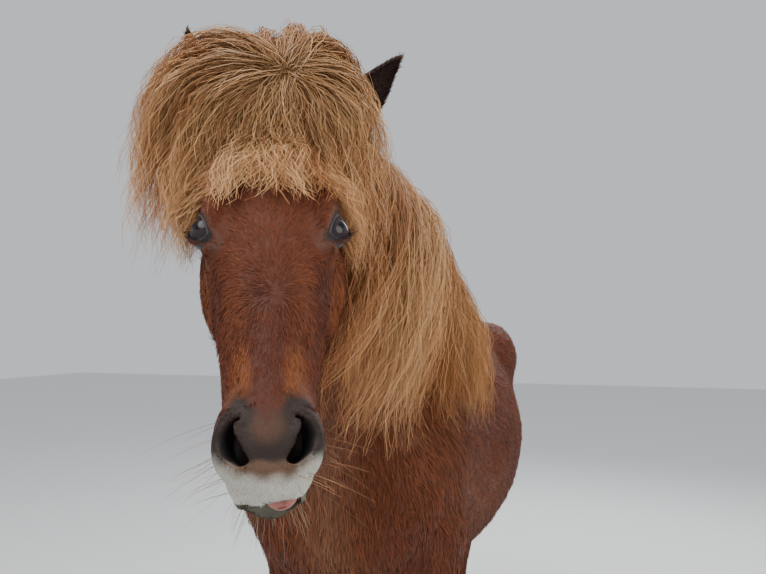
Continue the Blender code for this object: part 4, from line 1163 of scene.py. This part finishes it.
def hang(start, heading, length, stand_off, droop=0.46):
    """The path of a lock: it leaves along the heading, droops, and keeps its distance from the body."""
    points, speed = [start], heading.normalized()
    for i in range(1, PATH_STEPS + 1):
        share = i / PATH_STEPS
        speed = (speed + Vector((0, 0, -droop * min(share * 3, 1)))).normalized()
        point = points[-1] + speed * (length / PATH_STEPS)
        near, normal, _, _ = SKIN_TREE.find_nearest(point)
        wanted = stand_off * min(share * 3, 1) * mix(1, 0.45, step_between(0.5, 1, share))
        height = (point - near).dot(normal)
        if height < wanted:
            point = near + normal * wanted
        elif share > 0.4:
            point -= normal * (height - wanted) * 0.22
        points.append(point)
        speed = (points[-1] - points[-2]).normalized()
    return points


def mane_guide(share, stand_off, length):
    y, z, x = (np.interp(share * 5, range(6), row) for row in (*zip(*MANE_ROOTS), MANE_SHIFT))
    high = step_between(0.55, 1.0, share)
    forward = mix(0.05, -0.10, share) + draw.uniform(-0.12, 0.12)
    heading = Vector((mix(0.75, 0.50, high), forward, mix(0.75, 0.30, share)))
    return hang(Vector((x, y, z - 0.020)), heading, length, stand_off, mix(0.46, 0.85, high))


AHEAD = Vector((math.sin(HEAD_YAW), -math.cos(HEAD_YAW), 0))
LEFT = Vector((math.cos(HEAD_YAW), math.sin(HEAD_YAW), 0))
DOME = (POLL + LEFT * -0.006 + AHEAD * 0.012 + Vector((0, 0, 0.010)), (0.150, 0.106, 0.122))
PARTING = (0.028, 0.092, 0.010)


def on_dome(point, size, pull):
    """The point moved on to a dome of hair of this size over the poll, wholly if it lies inside it."""
    centre, radii = DOME
    away = point - centre
    parts = (away.dot(LEFT) / radii[0], away.dot(AHEAD) / radii[1], away.z / radii[2])
    reach = math.sqrt(sum(part * part for part in parts)) / size
    wanted = centre + away / max(reach, 0.05)
    return point.lerp(wanted, 1 if reach < 1 else pull)


def forelock_guide(turn, layer, length):
    """A lock of the forelock. It comes out at the parting and runs over the dome: turn 0 falls down the
    face, a quarter turn goes to the horse's left, and half a turn goes up and over."""
    size = mix(0.60, 1.0, layer)
    centre, _ = DOME
    left, ahead, up = (value * mix(0.80, 1, layer) for value in PARTING)
    parting = centre + LEFT * (left + draw.uniform(-0.008, 0.008)) + AHEAD * ahead + Vector((0, 0, up))
    start = on_dome(parting, size, 1)
    points = [HEAD @ Vector((0.014, -0.012, 0.020)), start]
    speed = LEFT * math.sin(turn) * 1.15 + Vector((0, 0, -math.cos(turn))) + AHEAD * 0.1
    for i in range(2, PATH_STEPS + 1):
        share = i / PATH_STEPS
        speed = (speed + Vector((0, 0, -0.03 - 0.36 * share))).normalized()
        hold = 0.7 * (1 - step_between(0.30, 0.70, share))
        point = on_dome(points[-1] + speed * length / PATH_STEPS, size, hold)
        near, normal, _, _ = SKIN_TREE.find_nearest(point)
        short = mix(0.010, 0.040, layer) * mix(1, 0.5, share) - (point - near).dot(normal)
        points.append(point + normal * min(max(short, 0), 0.006))
        speed = (points[-1] - points[-2]).normalized()
    return points


def tail_guide(angle, top, low, inset):
    heights = [row[0] for row in TAIL_HAIR][::-1]
    path = []
    for share in range(PATH_STEPS + 1):
        z = mix(top, low, share / PATH_STEPS)
        y, width, length = (np.interp(z, heights, [row[k] for row in TAIL_HAIR][::-1]) for k in (1, 2, 3))
        grow = inset * step_between(-0.05, 0.35, share / PATH_STEPS)
        x = sway(y) - 0.035 * step_between(0, 0.8, 1.1 - z)
        path.append(Vector((x + width * grow * math.cos(angle), y + length * grow * math.sin(angle), z)))
    return path


# %% Strands along the guides
POINTS = 16
STRAND_FACES = np.stack([np.arange(0, 2 * POINTS - 2, 2) + k for k in (0, 1, 3, 2)], axis=1)


def resampled(paths, ends):
    """Points along each path up to its own end share."""
    paths = np.array(paths)
    place = np.linspace(0, 1, POINTS)[None] * ends[:, None] * (paths.shape[1] - 1)
    low = np.clip(place.astype(int), 0, paths.shape[1] - 2)
    rows = np.arange(len(paths))[:, None]
    return paths[rows, low] + (paths[rows, low + 1] - paths[rows, low]) * (place - low)[:, :, None]


def strands(name, guides, each, radius, width, frizz, colours, seed, most=7500, slot="hair"):
    """Wavy ribbons round each guide. radius and frizz have a value at the root and one at the tip."""
    draw = np.random.default_rng(seed)
    clump = np.repeat(np.arange(len(guides)), each)
    count = len(clump)
    line = resampled([guides[i] for i in clump], draw.uniform(0.72, 1.06, count))
    ahead = np.gradient(line, axis=1)
    ahead /= np.linalg.norm(ahead, axis=2)[:, :, None] + 1e-9
    spin = draw.normal(size=(count, 3))
    side = np.cross(ahead, spin[:, None, :])
    side /= np.linalg.norm(side, axis=2)[:, :, None] + 1e-9
    other = np.cross(ahead, side)
    t = np.linspace(0, 1, POINTS)[None]
    spread = (radius[0] + (radius[1] - radius[0]) * t) * np.sqrt(draw.uniform(0, 1, (count, 1)))
    loose = (frizz[0] + (frizz[1] - frizz[0]) * t) * draw.uniform(0.35, 1.3, (count, 1))
    speed, phase = draw.uniform(4.0, 9.0, (2, count, 1)), draw.uniform(0, 6.28, (2, count, 1))
    shared = np.repeat(draw.uniform(0, 6.28, (len(guides), 1)), each, axis=0)
    a = spread + loose * 0.6 * np.sin(speed[0] * 6.28 * t * 0.6 + phase[0])
    b = loose * 0.6 * np.sin(speed[1] * 6.28 * t * 0.6 + phase[1])
    sway_by = 1.1 * (frizz[0] + (frizz[1] - frizz[0]) * t) * np.sin(3.4 * 6.28 * t * 0.6 + shared)
    line = line + side * a[:, :, None] + other * b[:, :, None]
    line[:, :, 0] += sway_by
    line[:, :, 1] += sway_by * 0.6
    ahead = np.gradient(line, axis=1)
    ahead /= np.linalg.norm(ahead, axis=2)[:, :, None] + 1e-9
    away = line - np.array((0.02, -0.75, 1.1))
    away = away / np.linalg.norm(away, axis=2)[:, :, None]
    flat = np.cross(ahead, away + 0.5 * draw.normal(size=(count, 1, 3)))
    flat /= np.linalg.norm(flat, axis=2)[:, :, None] + 1e-9
    thin = width / 2 * draw.uniform(0.6, 1.25, (count, 1)) * (1 - 0.75 * t**2.5)
    shape = np.stack([line - flat * thin[:, :, None], line + flat * thin[:, :, None]], axis=2)
    base = np.array(colours)[clump] * np.clip(draw.normal(1, 0.20, (count, 1)), 0.5, 1.7)
    # Each strand is darker at the root, as painted shade deep in the hair, and lighter towards the tip.
    shade = (0.45 + 0.75 * t**0.6)[:, :, None, None]
    tints = np.broadcast_to(base[:, None, None, :] * shade, shape.shape)
    patches = np.empty((count, POINTS, 2, 2))
    owner = []
    for guide in guides:
        _, _, index, _ = SKIN_TREE.find_nearest(guide[0])
        owner.append(FACE_PATCH[index])
    patches[:] = np.array(owner)[clump][:, None, None, :] + np.stack(np.broadcast_arrays(
        np.array((-1, 1))[None, :] * PATCH, (np.linspace(-1, 1, POINTS) * PATCH)[:, None]), axis=-1)[None]
    made = []
    for start in range(0, count, most):
        end = min(start + most, count)
        faces = (STRAND_FACES[None] + 2 * POINTS * np.arange(end - start)[:, None, None]).reshape(-1, 4)
        parts = [part[start:end].reshape(-1, part.shape[-1]) for part in (shape, tints, patches)]
        made.append(mesh_of(f"{name}_{len(made) + 1}", parts[0], faces, parts[1], parts[2], long_finish, slot))
    return made


first_loops = np.array([polygon.loop_start for polygon in skin.data.polygons])
FACE_PATCH = unwrapped.reshape(-1, 2)[first_loops]
# The darker amber and russet of the inner layers are partly the hair's own colour and partly painted shade
# inside the hair.
FLAXEN, AMBER, RUSSET = (0.50, 0.28, 0.125), (0.34, 0.135, 0.045), (0.17, 0.055, 0.022)


def mixed(one, other, share):
    return tuple(mix(a, b, min(max(share, 0), 1)) for a, b in zip(one, other))


def shade_of_hair(outer):
    """Flaxen on the outside of the hair, amber below it and russet innermost; the darker inner layers are partly
    painted shade inside the hair.
    """
    return mixed(RUSSET, AMBER, outer * 2) if outer < 0.5 else mixed(AMBER, FLAXEN, outer * 2 - 1)


# %% Forelock, mane and tail


def clear_of_ears(path):
    """Whether a guide stays off both ears, so that they stand free of the hair."""
    for base, axis, _ in EARS.values():
        start, way = HEAD @ Vector(base), (HEAD.to_3x3() @ Vector(axis)).normalized()
        for point in path:
            height = (point - start).dot(way)
            if 0.085 < height < 0.20 and (point - start - way * height).length < 0.024:
                return False
    return True


guides, colours = [], []
while len(guides) < 330:
    layer = draw.uniform(0, 1) ** 0.6
    turn = math.radians(draw.choice((draw.uniform(-180, 180), draw.uniform(-100, 100),
                                     draw.choice((1, -1)) * draw.uniform(60, 150))))
    length = mix(0.19, 0.40, step_between(0, 2.2, abs(turn))) * draw.uniform(0.82, 1.10)
    guide = forelock_guide(turn, layer, length)
    if clear_of_ears(guide):
        guides.append(guide)
        colours.append(shade_of_hair(0.20 + 0.75 * layer + draw.uniform(-0.3, 0.3)))
long_hair = strands("forelock", guides, 30, (0.010, 0.010), 0.00115, (0.0020, 0.0095), colours, 31, 6500)

guides, colours = [], []
MANE_FRONT = -0.985
while len(guides) < 420:
    layer, share = draw.uniform(0, 1), draw.uniform(0.0, 1.0)
    stand_off = mix(0.020, mix(0.122, 0.092, share), layer) * mix(1, 0.5, step_between(0.62, 0.98, share))
    length = mix(0.50, 0.66, share) * mix(0.85, 1.0, layer) * draw.uniform(0.84, 1.12)
    guide = mane_guide(share, stand_off, length)
    if clear_of_ears(guide) and guide[-1].y > MANE_FRONT:
        guides.append(guide)
        colours.append(shade_of_hair(0.02 + 1.0 * layer + draw.uniform(-0.22, 0.22)))
long_hair += strands("mane", guides, 26, (0.014, 0.017), 0.0012, (0.0030, 0.0125), colours, 32, 6500)

guides, colours = [], []
for i in range(150):
    layer, top = math.sqrt(draw.uniform(0, 1)), draw.uniform(0.98, 1.19)
    angle, low = draw.uniform(0, 2 * math.pi), draw.uniform(0.25, 0.50)
    guides.append(tail_guide(angle, top, low, mix(0.25, 1.0, layer)))
    colours.append(shade_of_hair(0.1 + 0.85 * layer + draw.uniform(-0.2, 0.2)))
long_hair += strands("tail_hair", guides, 18, (0.011, 0.010), 0.0018, (0.0015, 0.0085), colours, 33, 6500)
print("long hair", len(long_hair), "pieces, faces", sum(len(piece.data.polygons) for piece in long_hair))

# %% [markdown]
# Below the strands lies a dark core, painted shade for the depth of the hair, as the roots of thousands of
# hairs look from a distance: sheets that follow guides, given some depth. The tail also has its dock, in the
# same near-black painted shade.

# %% Cores under the long hair
# A near-black finish: painted shade for the depth of the long hair.
shade_core_finish = Finish("root_hair_shade", 0.7, 0.15)
shade_core_colour = shade_core_finish.blend((0.030, 0.011, 0.006), (0.110, 0.042, 0.018),
                                shade_core_finish.noise(160, 4, (1, 1, 0.15)))
shade_core_finish.coloured(shade_core_colour).rough(shade_core_finish.fit(shade_core_finish.noise(90), 0.6, 0.85))
shade_core_finish.bumped(shade_core_finish.noise(400, 3, (1, 1, 0.15)), 0.7)


def core(name, paths, depth):
    rows = len(paths)

    def shape(mesh):
        grid = bmesh.ops.create_grid(mesh, x_segments=rows - 1, y_segments=PATH_STEPS, size=1)
        for vert in grid["verts"]:
            u, v = round((vert.co.x + 1) / 2 * (rows - 1)), round((vert.co.y + 1) / 2 * PATH_STEPS)
            vert.co = paths[u][v]
        bmesh.ops.recalc_face_normals(mesh, faces=mesh.faces)
        bmesh.ops.solidify(mesh, geom=mesh.faces[:], thickness=depth)

    return fuse(new_object(name, shape), 0.006)


def finished(obj, finish):
    obj.data.materials.clear()
    obj.data.materials.append(finish.material)
    obj.data.polygons.foreach_set("use_smooth", [True] * len(obj.data.polygons))
    return dress(obj)


CORE_ROWS = 12
mane_core = core("mane_root_hair", [
    mane_guide(share, mix(0.030, 0.028, share), mix(0.26, 0.36, share))
    for share in (i / (CORE_ROWS - 1) for i in range(CORE_ROWS))], 0.010)


def forelock_pad(mesh):
    """Soft lumps under the locks of the forelock, where their roots bunch together, dark with painted shade."""
    for i in range(18):
        path = forelock_guide(math.radians(mix(-170, 170, i / 17)), 0.22, 0.27)
        for step in (2, 4, 6, 8):
            ellipsoid(mesh, Matrix.Translation(path[step] - AHEAD * 0.012), (0.022, 0.022, 0.022), 3)


forelock_core = soften(fuse(new_object("forelock_root_hair", forelock_pad), 0.006), 3)
DOCK = ((1.235, 0.640, 0.030, 0.020), (1.218, 0.705, 0.034, 0.032), (1.170, 0.762, 0.034, 0.030),
        (1.080, 0.796, 0.036, 0.030), (0.950, 0.806, 0.036, 0.028), (0.800, 0.810, 0.028, 0.022),
        (0.660, 0.810, 0.010, 0.010))


def dock_ring(height, back, width, length):
    """One section of the tail's bony part, on the line that the tail's hair follows."""
    centre = Vector((sway(back) - 0.035 * step_between(0, 0.8, 1.1 - height), back, height))
    return centre, Vector((width, 0, 0)), Vector((0, length, 0)), Vector((0, -length, 0)), 0, 0


dock = new_object("dock", lambda mesh: tube(mesh, [dock_ring(*row) for row in DOCK]))
# The cores and the dock take the near-black painted shade.
for piece in (mane_core, forelock_core, dock):
    finished(piece, shade_core_finish)

# %% [markdown]
# ## Eyes, ears, tongue and hooves
# A horse's eye is nearly all dark: a brown iris round a pupil that is a wide, level oval, under a clear,
# wet dome. The eyeball is one ball whose finish draws iris, pupil and the pale rim from the place on its
# surface. A wet, glossy coat on the same ball stands for the clear dome.

# %% Eyes
def axes_at(place, depth, length):
    third = depth.normalized()
    first = length.cross(third).normalized()
    return Matrix.Translation(place) @ Matrix((first, third.cross(first), third)).transposed().to_4x4()


eye_finish = Finish("eyeball", 0.12, 0.16)
eye_finish.coloured(eye_finish.attribute("tint")).rough(eye_finish.fit(eye_finish.noise(60), 0.03, 0.10))
eye_finish.bumped(eye_finish.noise(500), 0.05, 0.0003)
eye_finish.shader.inputs["Coat Weight"].default_value = 0.10
eye_finish.shader.inputs["Coat Roughness"].default_value = 0.05

for side, label in ((1, "left"), (-1, "right")):
    frame_of_eye = HEAD @ axes_at(mirrored(EYEBALL, side), mirrored(GAZE, side), mirrored(LID_LENGTH, side))

    def ball(mesh):
        bmesh.ops.create_uvsphere(mesh, u_segments=96, v_segments=64, radius=EYEBALL_RADIUS)
        bmesh.ops.transform(mesh, matrix=frame_of_eye, verts=mesh.verts)

    eye = new_object("eye_" + label + "_ball", ball)
    local = coordinates(eye) - np.array(frame_of_eye.translation)
    local = local @ np.array(frame_of_eye.to_3x3()) / EYEBALL_RADIUS
    across, along, out = local.T
    iris = np.sqrt(across**2 + along**2)
    pupil = np.sqrt((across / 0.20) ** 2 + (along / 0.42) ** 2)
    tint = np.tile(np.array((0.010, 0.009, 0.012)), (len(local), 1))
    rays = 0.5 + 0.5 * np.sin(np.arctan2(along, across) * 40 + 3 * np.sin(np.arctan2(along, across) * 7))
    tint = lay(tint, (0.045, 0.030, 0.032), (1 - ramp(0.74, 0.84, iris)) * (0.35 + 0.4 * rays))
    tint = lay(tint, (0.003, 0.003, 0.006), 1 - ramp(0.85, 1.0, pupil))
    tint = lay(tint, (0.05, 0.055, 0.07), bump_at(iris, 0.95, 0.04) * 0.5)
    write_tint(eye, tint)
    eye.data.polygons.foreach_set("use_smooth", [True] * len(eye.data.polygons))
    finished(eye, eye_finish)
    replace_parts(eye, "eye_" + label)

# %% [markdown]
# An ear is a leaf-shaped cup on a short stalk. It is a tube with a hollow tube cut out of it, softened, and
# covered with short hair that follows it to the tip, with longer hair along its edges.

# %% Ears
EAR = (
    (-0.045, 0.014, 0.014, 0.000), (0.000, 0.024, 0.023, 0.000), (0.028, 0.031, 0.026, -0.001),
    (0.062, 0.033, 0.023, -0.002),
    (0.098, 0.027, 0.017, 0.001), (0.132, 0.016, 0.010, 0.006), (0.156, 0.007, 0.005, 0.012),
    (0.165, 0.002, 0.002, 0.015),
)
EAR_HOLLOW = (
    (0.010, 0.010, 0.010, 0.008), (0.030, 0.022, 0.019, 0.010), (0.062, 0.029, 0.019, 0.010),
    (0.098, 0.024, 0.015, 0.011),
    (0.130, 0.013, 0.010, 0.013), (0.153, 0.004, 0.005, 0.017), (0.158, 0.002, 0.003, 0.018),
)


def ear_tube(mesh, place, rows):
    rings, turn = [], place.to_3x3()
    for height, width, depth, lean in between(rows):
        along = turn @ Vector((0, depth, 0))
        rings.append((place @ Vector((0, lean, height)), turn @ Vector((width, 0, 0)), along, -along, 0, 0))
    tube(mesh, rings, 40)


for name, (base, axis, opening) in EARS.items():
    place = HEAD @ axes_at(Vector(base), Vector(axis), Vector(opening))
    cup = new_object(name + "_cup", lambda mesh: ear_tube(mesh, place, EAR))
    hollow = new_object("hollow", lambda mesh: ear_tube(mesh, place, EAR_HOLLOW))
    cut = cup.modifiers.new("cut", "BOOLEAN")
    cut.operation, cut.object = "DIFFERENCE", hollow
    apply_modifiers(cup)
    bpy.data.objects.remove(hollow)
    fuse(cup, 0.0016)
    soften(cup, 4)
    local = (coordinates(cup) - np.array(place.translation)) @ np.array(place.to_3x3())
    normals = normals_of(cup)
    inner = (normals @ np.array(place.to_3x3())[:, 1] > 0.15) & (local[:, 1] < 0.016)
    tip = ramp(0.06, 0.16, local[:, 2])

    def ear_colour(local, inner):
        tip = ramp(0.03, 0.15, local[:, 2])
        tint = lay(np.tile(np.array((0.110, 0.032, 0.014)), (len(local), 1)), (0.030, 0.014, 0.010), tip * 0.95)
        rim = ramp(0.010, 0.022, local[:, 1]) * (1 - 0.6 * tip)
        tint = lay(tint, (0.27, 0.10, 0.032), rim * 0.8)
        return lay(tint, (0.020, 0.010, 0.008), 0.85 * inner * (1 - rim))

    write_tint(cup, ear_colour(local, inner))
    cup.data.calc_loop_triangles()
    corners = np.empty(len(cup.data.loop_triangles) * 3, np.int32)
    cup.data.loop_triangles.foreach_get("vertices", corners)
    points = coordinates(cup)[corners.reshape(-1, 3)]
    facing = np.cross(points[:, 1] - points[:, 0], points[:, 2] - points[:, 0])
    size = np.linalg.norm(facing, axis=1) / 2
    picks = np.random.default_rng(71)
    chosen = picks.choice(len(size), 7000, p=size / size.sum())
    shares = picks.dirichlet((1, 1, 1), 7000)
    spots = (points[chosen] * shares[:, :, None]).sum(axis=1)
    facing = unit(facing[chosen])
    local = (spots - np.array(place.translation)) @ np.array(place.to_3x3())
    open_side = np.array(place.to_3x3())[:, 1]
    inside = (facing @ open_side > 0.15) & (local[:, 1] < 0.016)
    up = np.array(place.to_3x3())[:, 2]
    way = up[None] + 0.25 * picks.normal(size=(7000, 3)) - facing * (facing @ up)[:, None]
    way = way + open_side[None] * 0.3 * inside[:, None]
    way = unit(way - facing * (way * facing).sum(axis=1)[:, None])
    rim = ramp(0.008, 0.020, local[:, 1])
    keep = local[:, 2] > -0.02
    tints = ear_colour(local, inside) * picks.uniform(0.7, 1.35, 7000)[:, None]
    flat = np.tile(FACE_PATCH[SKIN_TREE.find_nearest(place.translation)[2]], (7000, 1))
    lengths = (0.009 + 0.007 * rim) * picks.uniform(0.7, 1.3, 7000) * (1 - 0.4 * ramp(0.12, 0.165, local[:, 2]))
    lifts = 0.14 + 0.25 * inside + 0.15 * rim
    values = (spots, facing, flat, way, lengths, np.full(7000, 0.0011), lifts, tints)
    coat += blades(name + "_hair", *(value[keep] for value in values), 72)
    finished(cup, coat_finish)
    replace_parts(cup, name)

# %% Tongue
tongue_finish = Finish("tongue", 0.34, 0.5)
tongue_colour = tongue_finish.blend((0.27, 0.085, 0.065), (0.40, 0.15, 0.12), tongue_finish.noise(90, 5))
tongue_finish.coloured(tongue_colour).rough(tongue_finish.fit(tongue_finish.noise(200), 0.22, 0.48))
tongue_finish.bumped(tongue_finish.noise(1300, 3), 0.35)
tongue_finish.shader.inputs["Subsurface Weight"].default_value = 0.15
tongue_finish.shader.inputs["Subsurface Radius"].default_value = (0.006, 0.002, 0.001)


def tongue_form(mesh):
    placed = HEAD @ Matrix.Translation((0.012, -0.0925, 0.524)) @ Matrix.Rotation(math.radians(-8), 4, "Z")
    ellipsoid(mesh, placed, (0.0235, 0.0135, 0.0305), 5)
    for vert in mesh.verts:
        place = INTO_HEAD @ vert.co
        place.y -= 0.0035 * math.exp(-((place.x - 0.013) / 0.006) ** 2) * (place.y > -0.09)
        place.y += 0.30 * max(place.x - 0.012, 0) * 0.4
        vert.co = HEAD @ place


tongue = finished(new_object("tongue_tip", tongue_form), tongue_finish)
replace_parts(tongue, "tongue")

# %% [markdown]
# A hoof is a slightly flared cone of horn. It grows in rings, which show as fine ridges, and its colour is
# streaked from the top down.

# %% Hooves
HOOF = ((0.082, -0.004, 0.043, 0.048), (0.078, -0.004, 0.046, 0.051),
        (0.050, 0.008, 0.050, 0.056), (0.022, 0.019, 0.055, 0.062),
        (0.004, 0.027, 0.0585, 0.0655), (0.000, 0.028, 0.056, 0.063))
horn_finish = Finish("hoof_horn", 0.42, 0.4)
horn = horn_finish.blend((0.020, 0.016, 0.013), (0.13, 0.10, 0.075), horn_finish.noise(38, 5, (1, 1, 0.12)))
horn_finish.coloured(horn).rough(horn_finish.fit(horn_finish.noise(60), 0.3, 0.6))
horn_finish.bumped(horn_finish.noise(120, 4, (0.25, 0.25, 2.5)), 0.5, 0.002)

for leg, hoof_name, rows, side in LEGS:
    foot = leg_rings(leg, rows, side)[-1][0]

    def wall(mesh):
        rings = []
        for height, ahead, width, length in between(HOOF, 8):
            swell = 1 + 0.006 * math.sin(height * 900) * (0.003 < height < 0.075)
            centre = Vector((foot.x, foot.y - ahead, height))
            half_length = Vector((0, length * swell, 0))
            rings.append((centre, Vector((width * swell, 0, 0)), half_length, -half_length, 0, 0))
        tube(mesh, rings, 64)

    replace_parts(finished(new_object(hoof_name + "_wall", wall), horn_finish), hoof_name)

# %% [markdown]
# Whiskers, lashes and the long hair over the hooves break the outline. They are single strands on short
# guides.

# %% Whiskers, lashes and feather
guides, colours = [], []


def bristle(face_place, direction, length, sag, colour, spread=0.25):
    start = HEAD @ Vector(face_place)
    near, normal, _, _ = SKIN_TREE.find_nearest(start)
    way = (HEAD.to_3x3() @ Vector(direction)).normalized()
    way = (way + Vector([draw.uniform(-spread, spread) for _ in range(3)]) + normal * 0.4).normalized()
    path = []
    for i in range(PATH_STEPS + 1):
        t = i / PATH_STEPS
        path.append(near + way * length * t + Vector((0, 0, -sag * length * t * t)))
    guides.append(path)
    colours.append(colour)


GOLD, GREY = (0.30, 0.15, 0.07), (0.30, 0.26, 0.21)
for _ in range(46):
    side = draw.choice((1, -1))
    place = (side * draw.uniform(0.030, 0.052), draw.uniform(-0.115, -0.050), draw.uniform(0.455, 0.535))
    bristle(place, (side * 0.9, 0.0, 0.35), draw.uniform(0.025, 0.085), 0.15, GOLD)
for _ in range(150):
    x = draw.uniform(-0.042, 0.042)
    place = (x, draw.uniform(-0.150, -0.118), draw.uniform(0.46, 0.550))
    length, colour = draw.uniform(0.008, 0.045), mixed(GOLD, GREY, draw.uniform(0, 1))
    bristle(place, (x * 9, -0.55, 0.8), length, 0.25, colour)
for _ in range(26):
    x = draw.uniform(-0.035, 0.035)
    place = (x, draw.uniform(-0.070, -0.045), draw.uniform(0.525, 0.550))
    bristle(place, (x * 6, 0.5, 0.8), draw.uniform(0.006, 0.018), 0.2, GREY)
whiskers = strands("whiskers", guides, 1, (0, 0), 0.0005, (0.0, 0.0005), colours, 41, slot="coat")

guides, colours = [], []
for side in (1, -1):
    axis, length = mirrored(GAZE, side), mirrored(LID_LENGTH, side)
    length = (length - axis * length.dot(axis)).normalized()
    across = length.cross(axis) * side
    for i in range(46):
        along = mix(-0.6, 0.95, (i + draw.random()) / 46)
        bow = 0.0155 * math.sqrt(1 - along * along * 0.9)
        place = mirrored(EYEBALL, side) + axis * 0.018 + length * 0.0225 * along + across * bow
        way = axis * 0.8 + across * 0.75 + Vector((0, 0, 0.35))
        bristle(place, way, draw.uniform(0.009, 0.017), -0.25, (0.05, 0.025, 0.015), 0.12)
lashes = strands("lashes", guides, 1, (0, 0), 0.0008, (0.0, 0.0004), colours, 42, slot="coat")

guides, colours = [], []
for leg, _, rows, side in LEGS:
    ring_list = leg_rings(leg, rows, side)
    for _ in range(70):
        ring = ring_list[draw.randrange(len(ring_list) - 22, len(ring_list) - 1)]
        angle = draw.uniform(-2.6, -0.5) if draw.random() < 0.75 else draw.uniform(0, 6.28)
        start = ring_point(ring, -angle)
        near, normal, _, _ = SKIN_TREE.find_nearest(start)
        reach = draw.uniform(0.03, 0.075) * (1.2 if normal.y > 0.3 else 0.6)
        low = max(near.z - reach, 0.012)
        out = Vector((normal.x, normal.y, 0)) * reach * 0.30
        foot = Vector((near.x, near.y, low)) + out
        shares = [i / PATH_STEPS for i in range(PATH_STEPS + 1)]
        guides.append([near.lerp(foot, share) + out * 0.5 * math.sin(math.pi * share) for share in shares])
        colours.append(mixed((0.055, 0.022, 0.012), (0.20, 0.09, 0.04), draw.random()))
feather = strands("feather", guides, 16, (0.006, 0.006), 0.0015, (0.0006, 0.0025), colours, 43, slot="coat")

# %% [markdown]
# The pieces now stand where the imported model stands.

# %% Put the skin in place and finish
dress(skin)
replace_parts(skin, "torso", "neck", "head", *(leg for leg, _, _, _ in LEGS))
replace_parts(long_hair[-1], "tail")
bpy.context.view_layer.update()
shown = [obj for obj in bpy.data.objects if obj.type == "MESH" and not obj.hide_render]
print("triangles", sum(len(polygon.vertices) - 2 for obj in shown for polygon in obj.data.polygons))
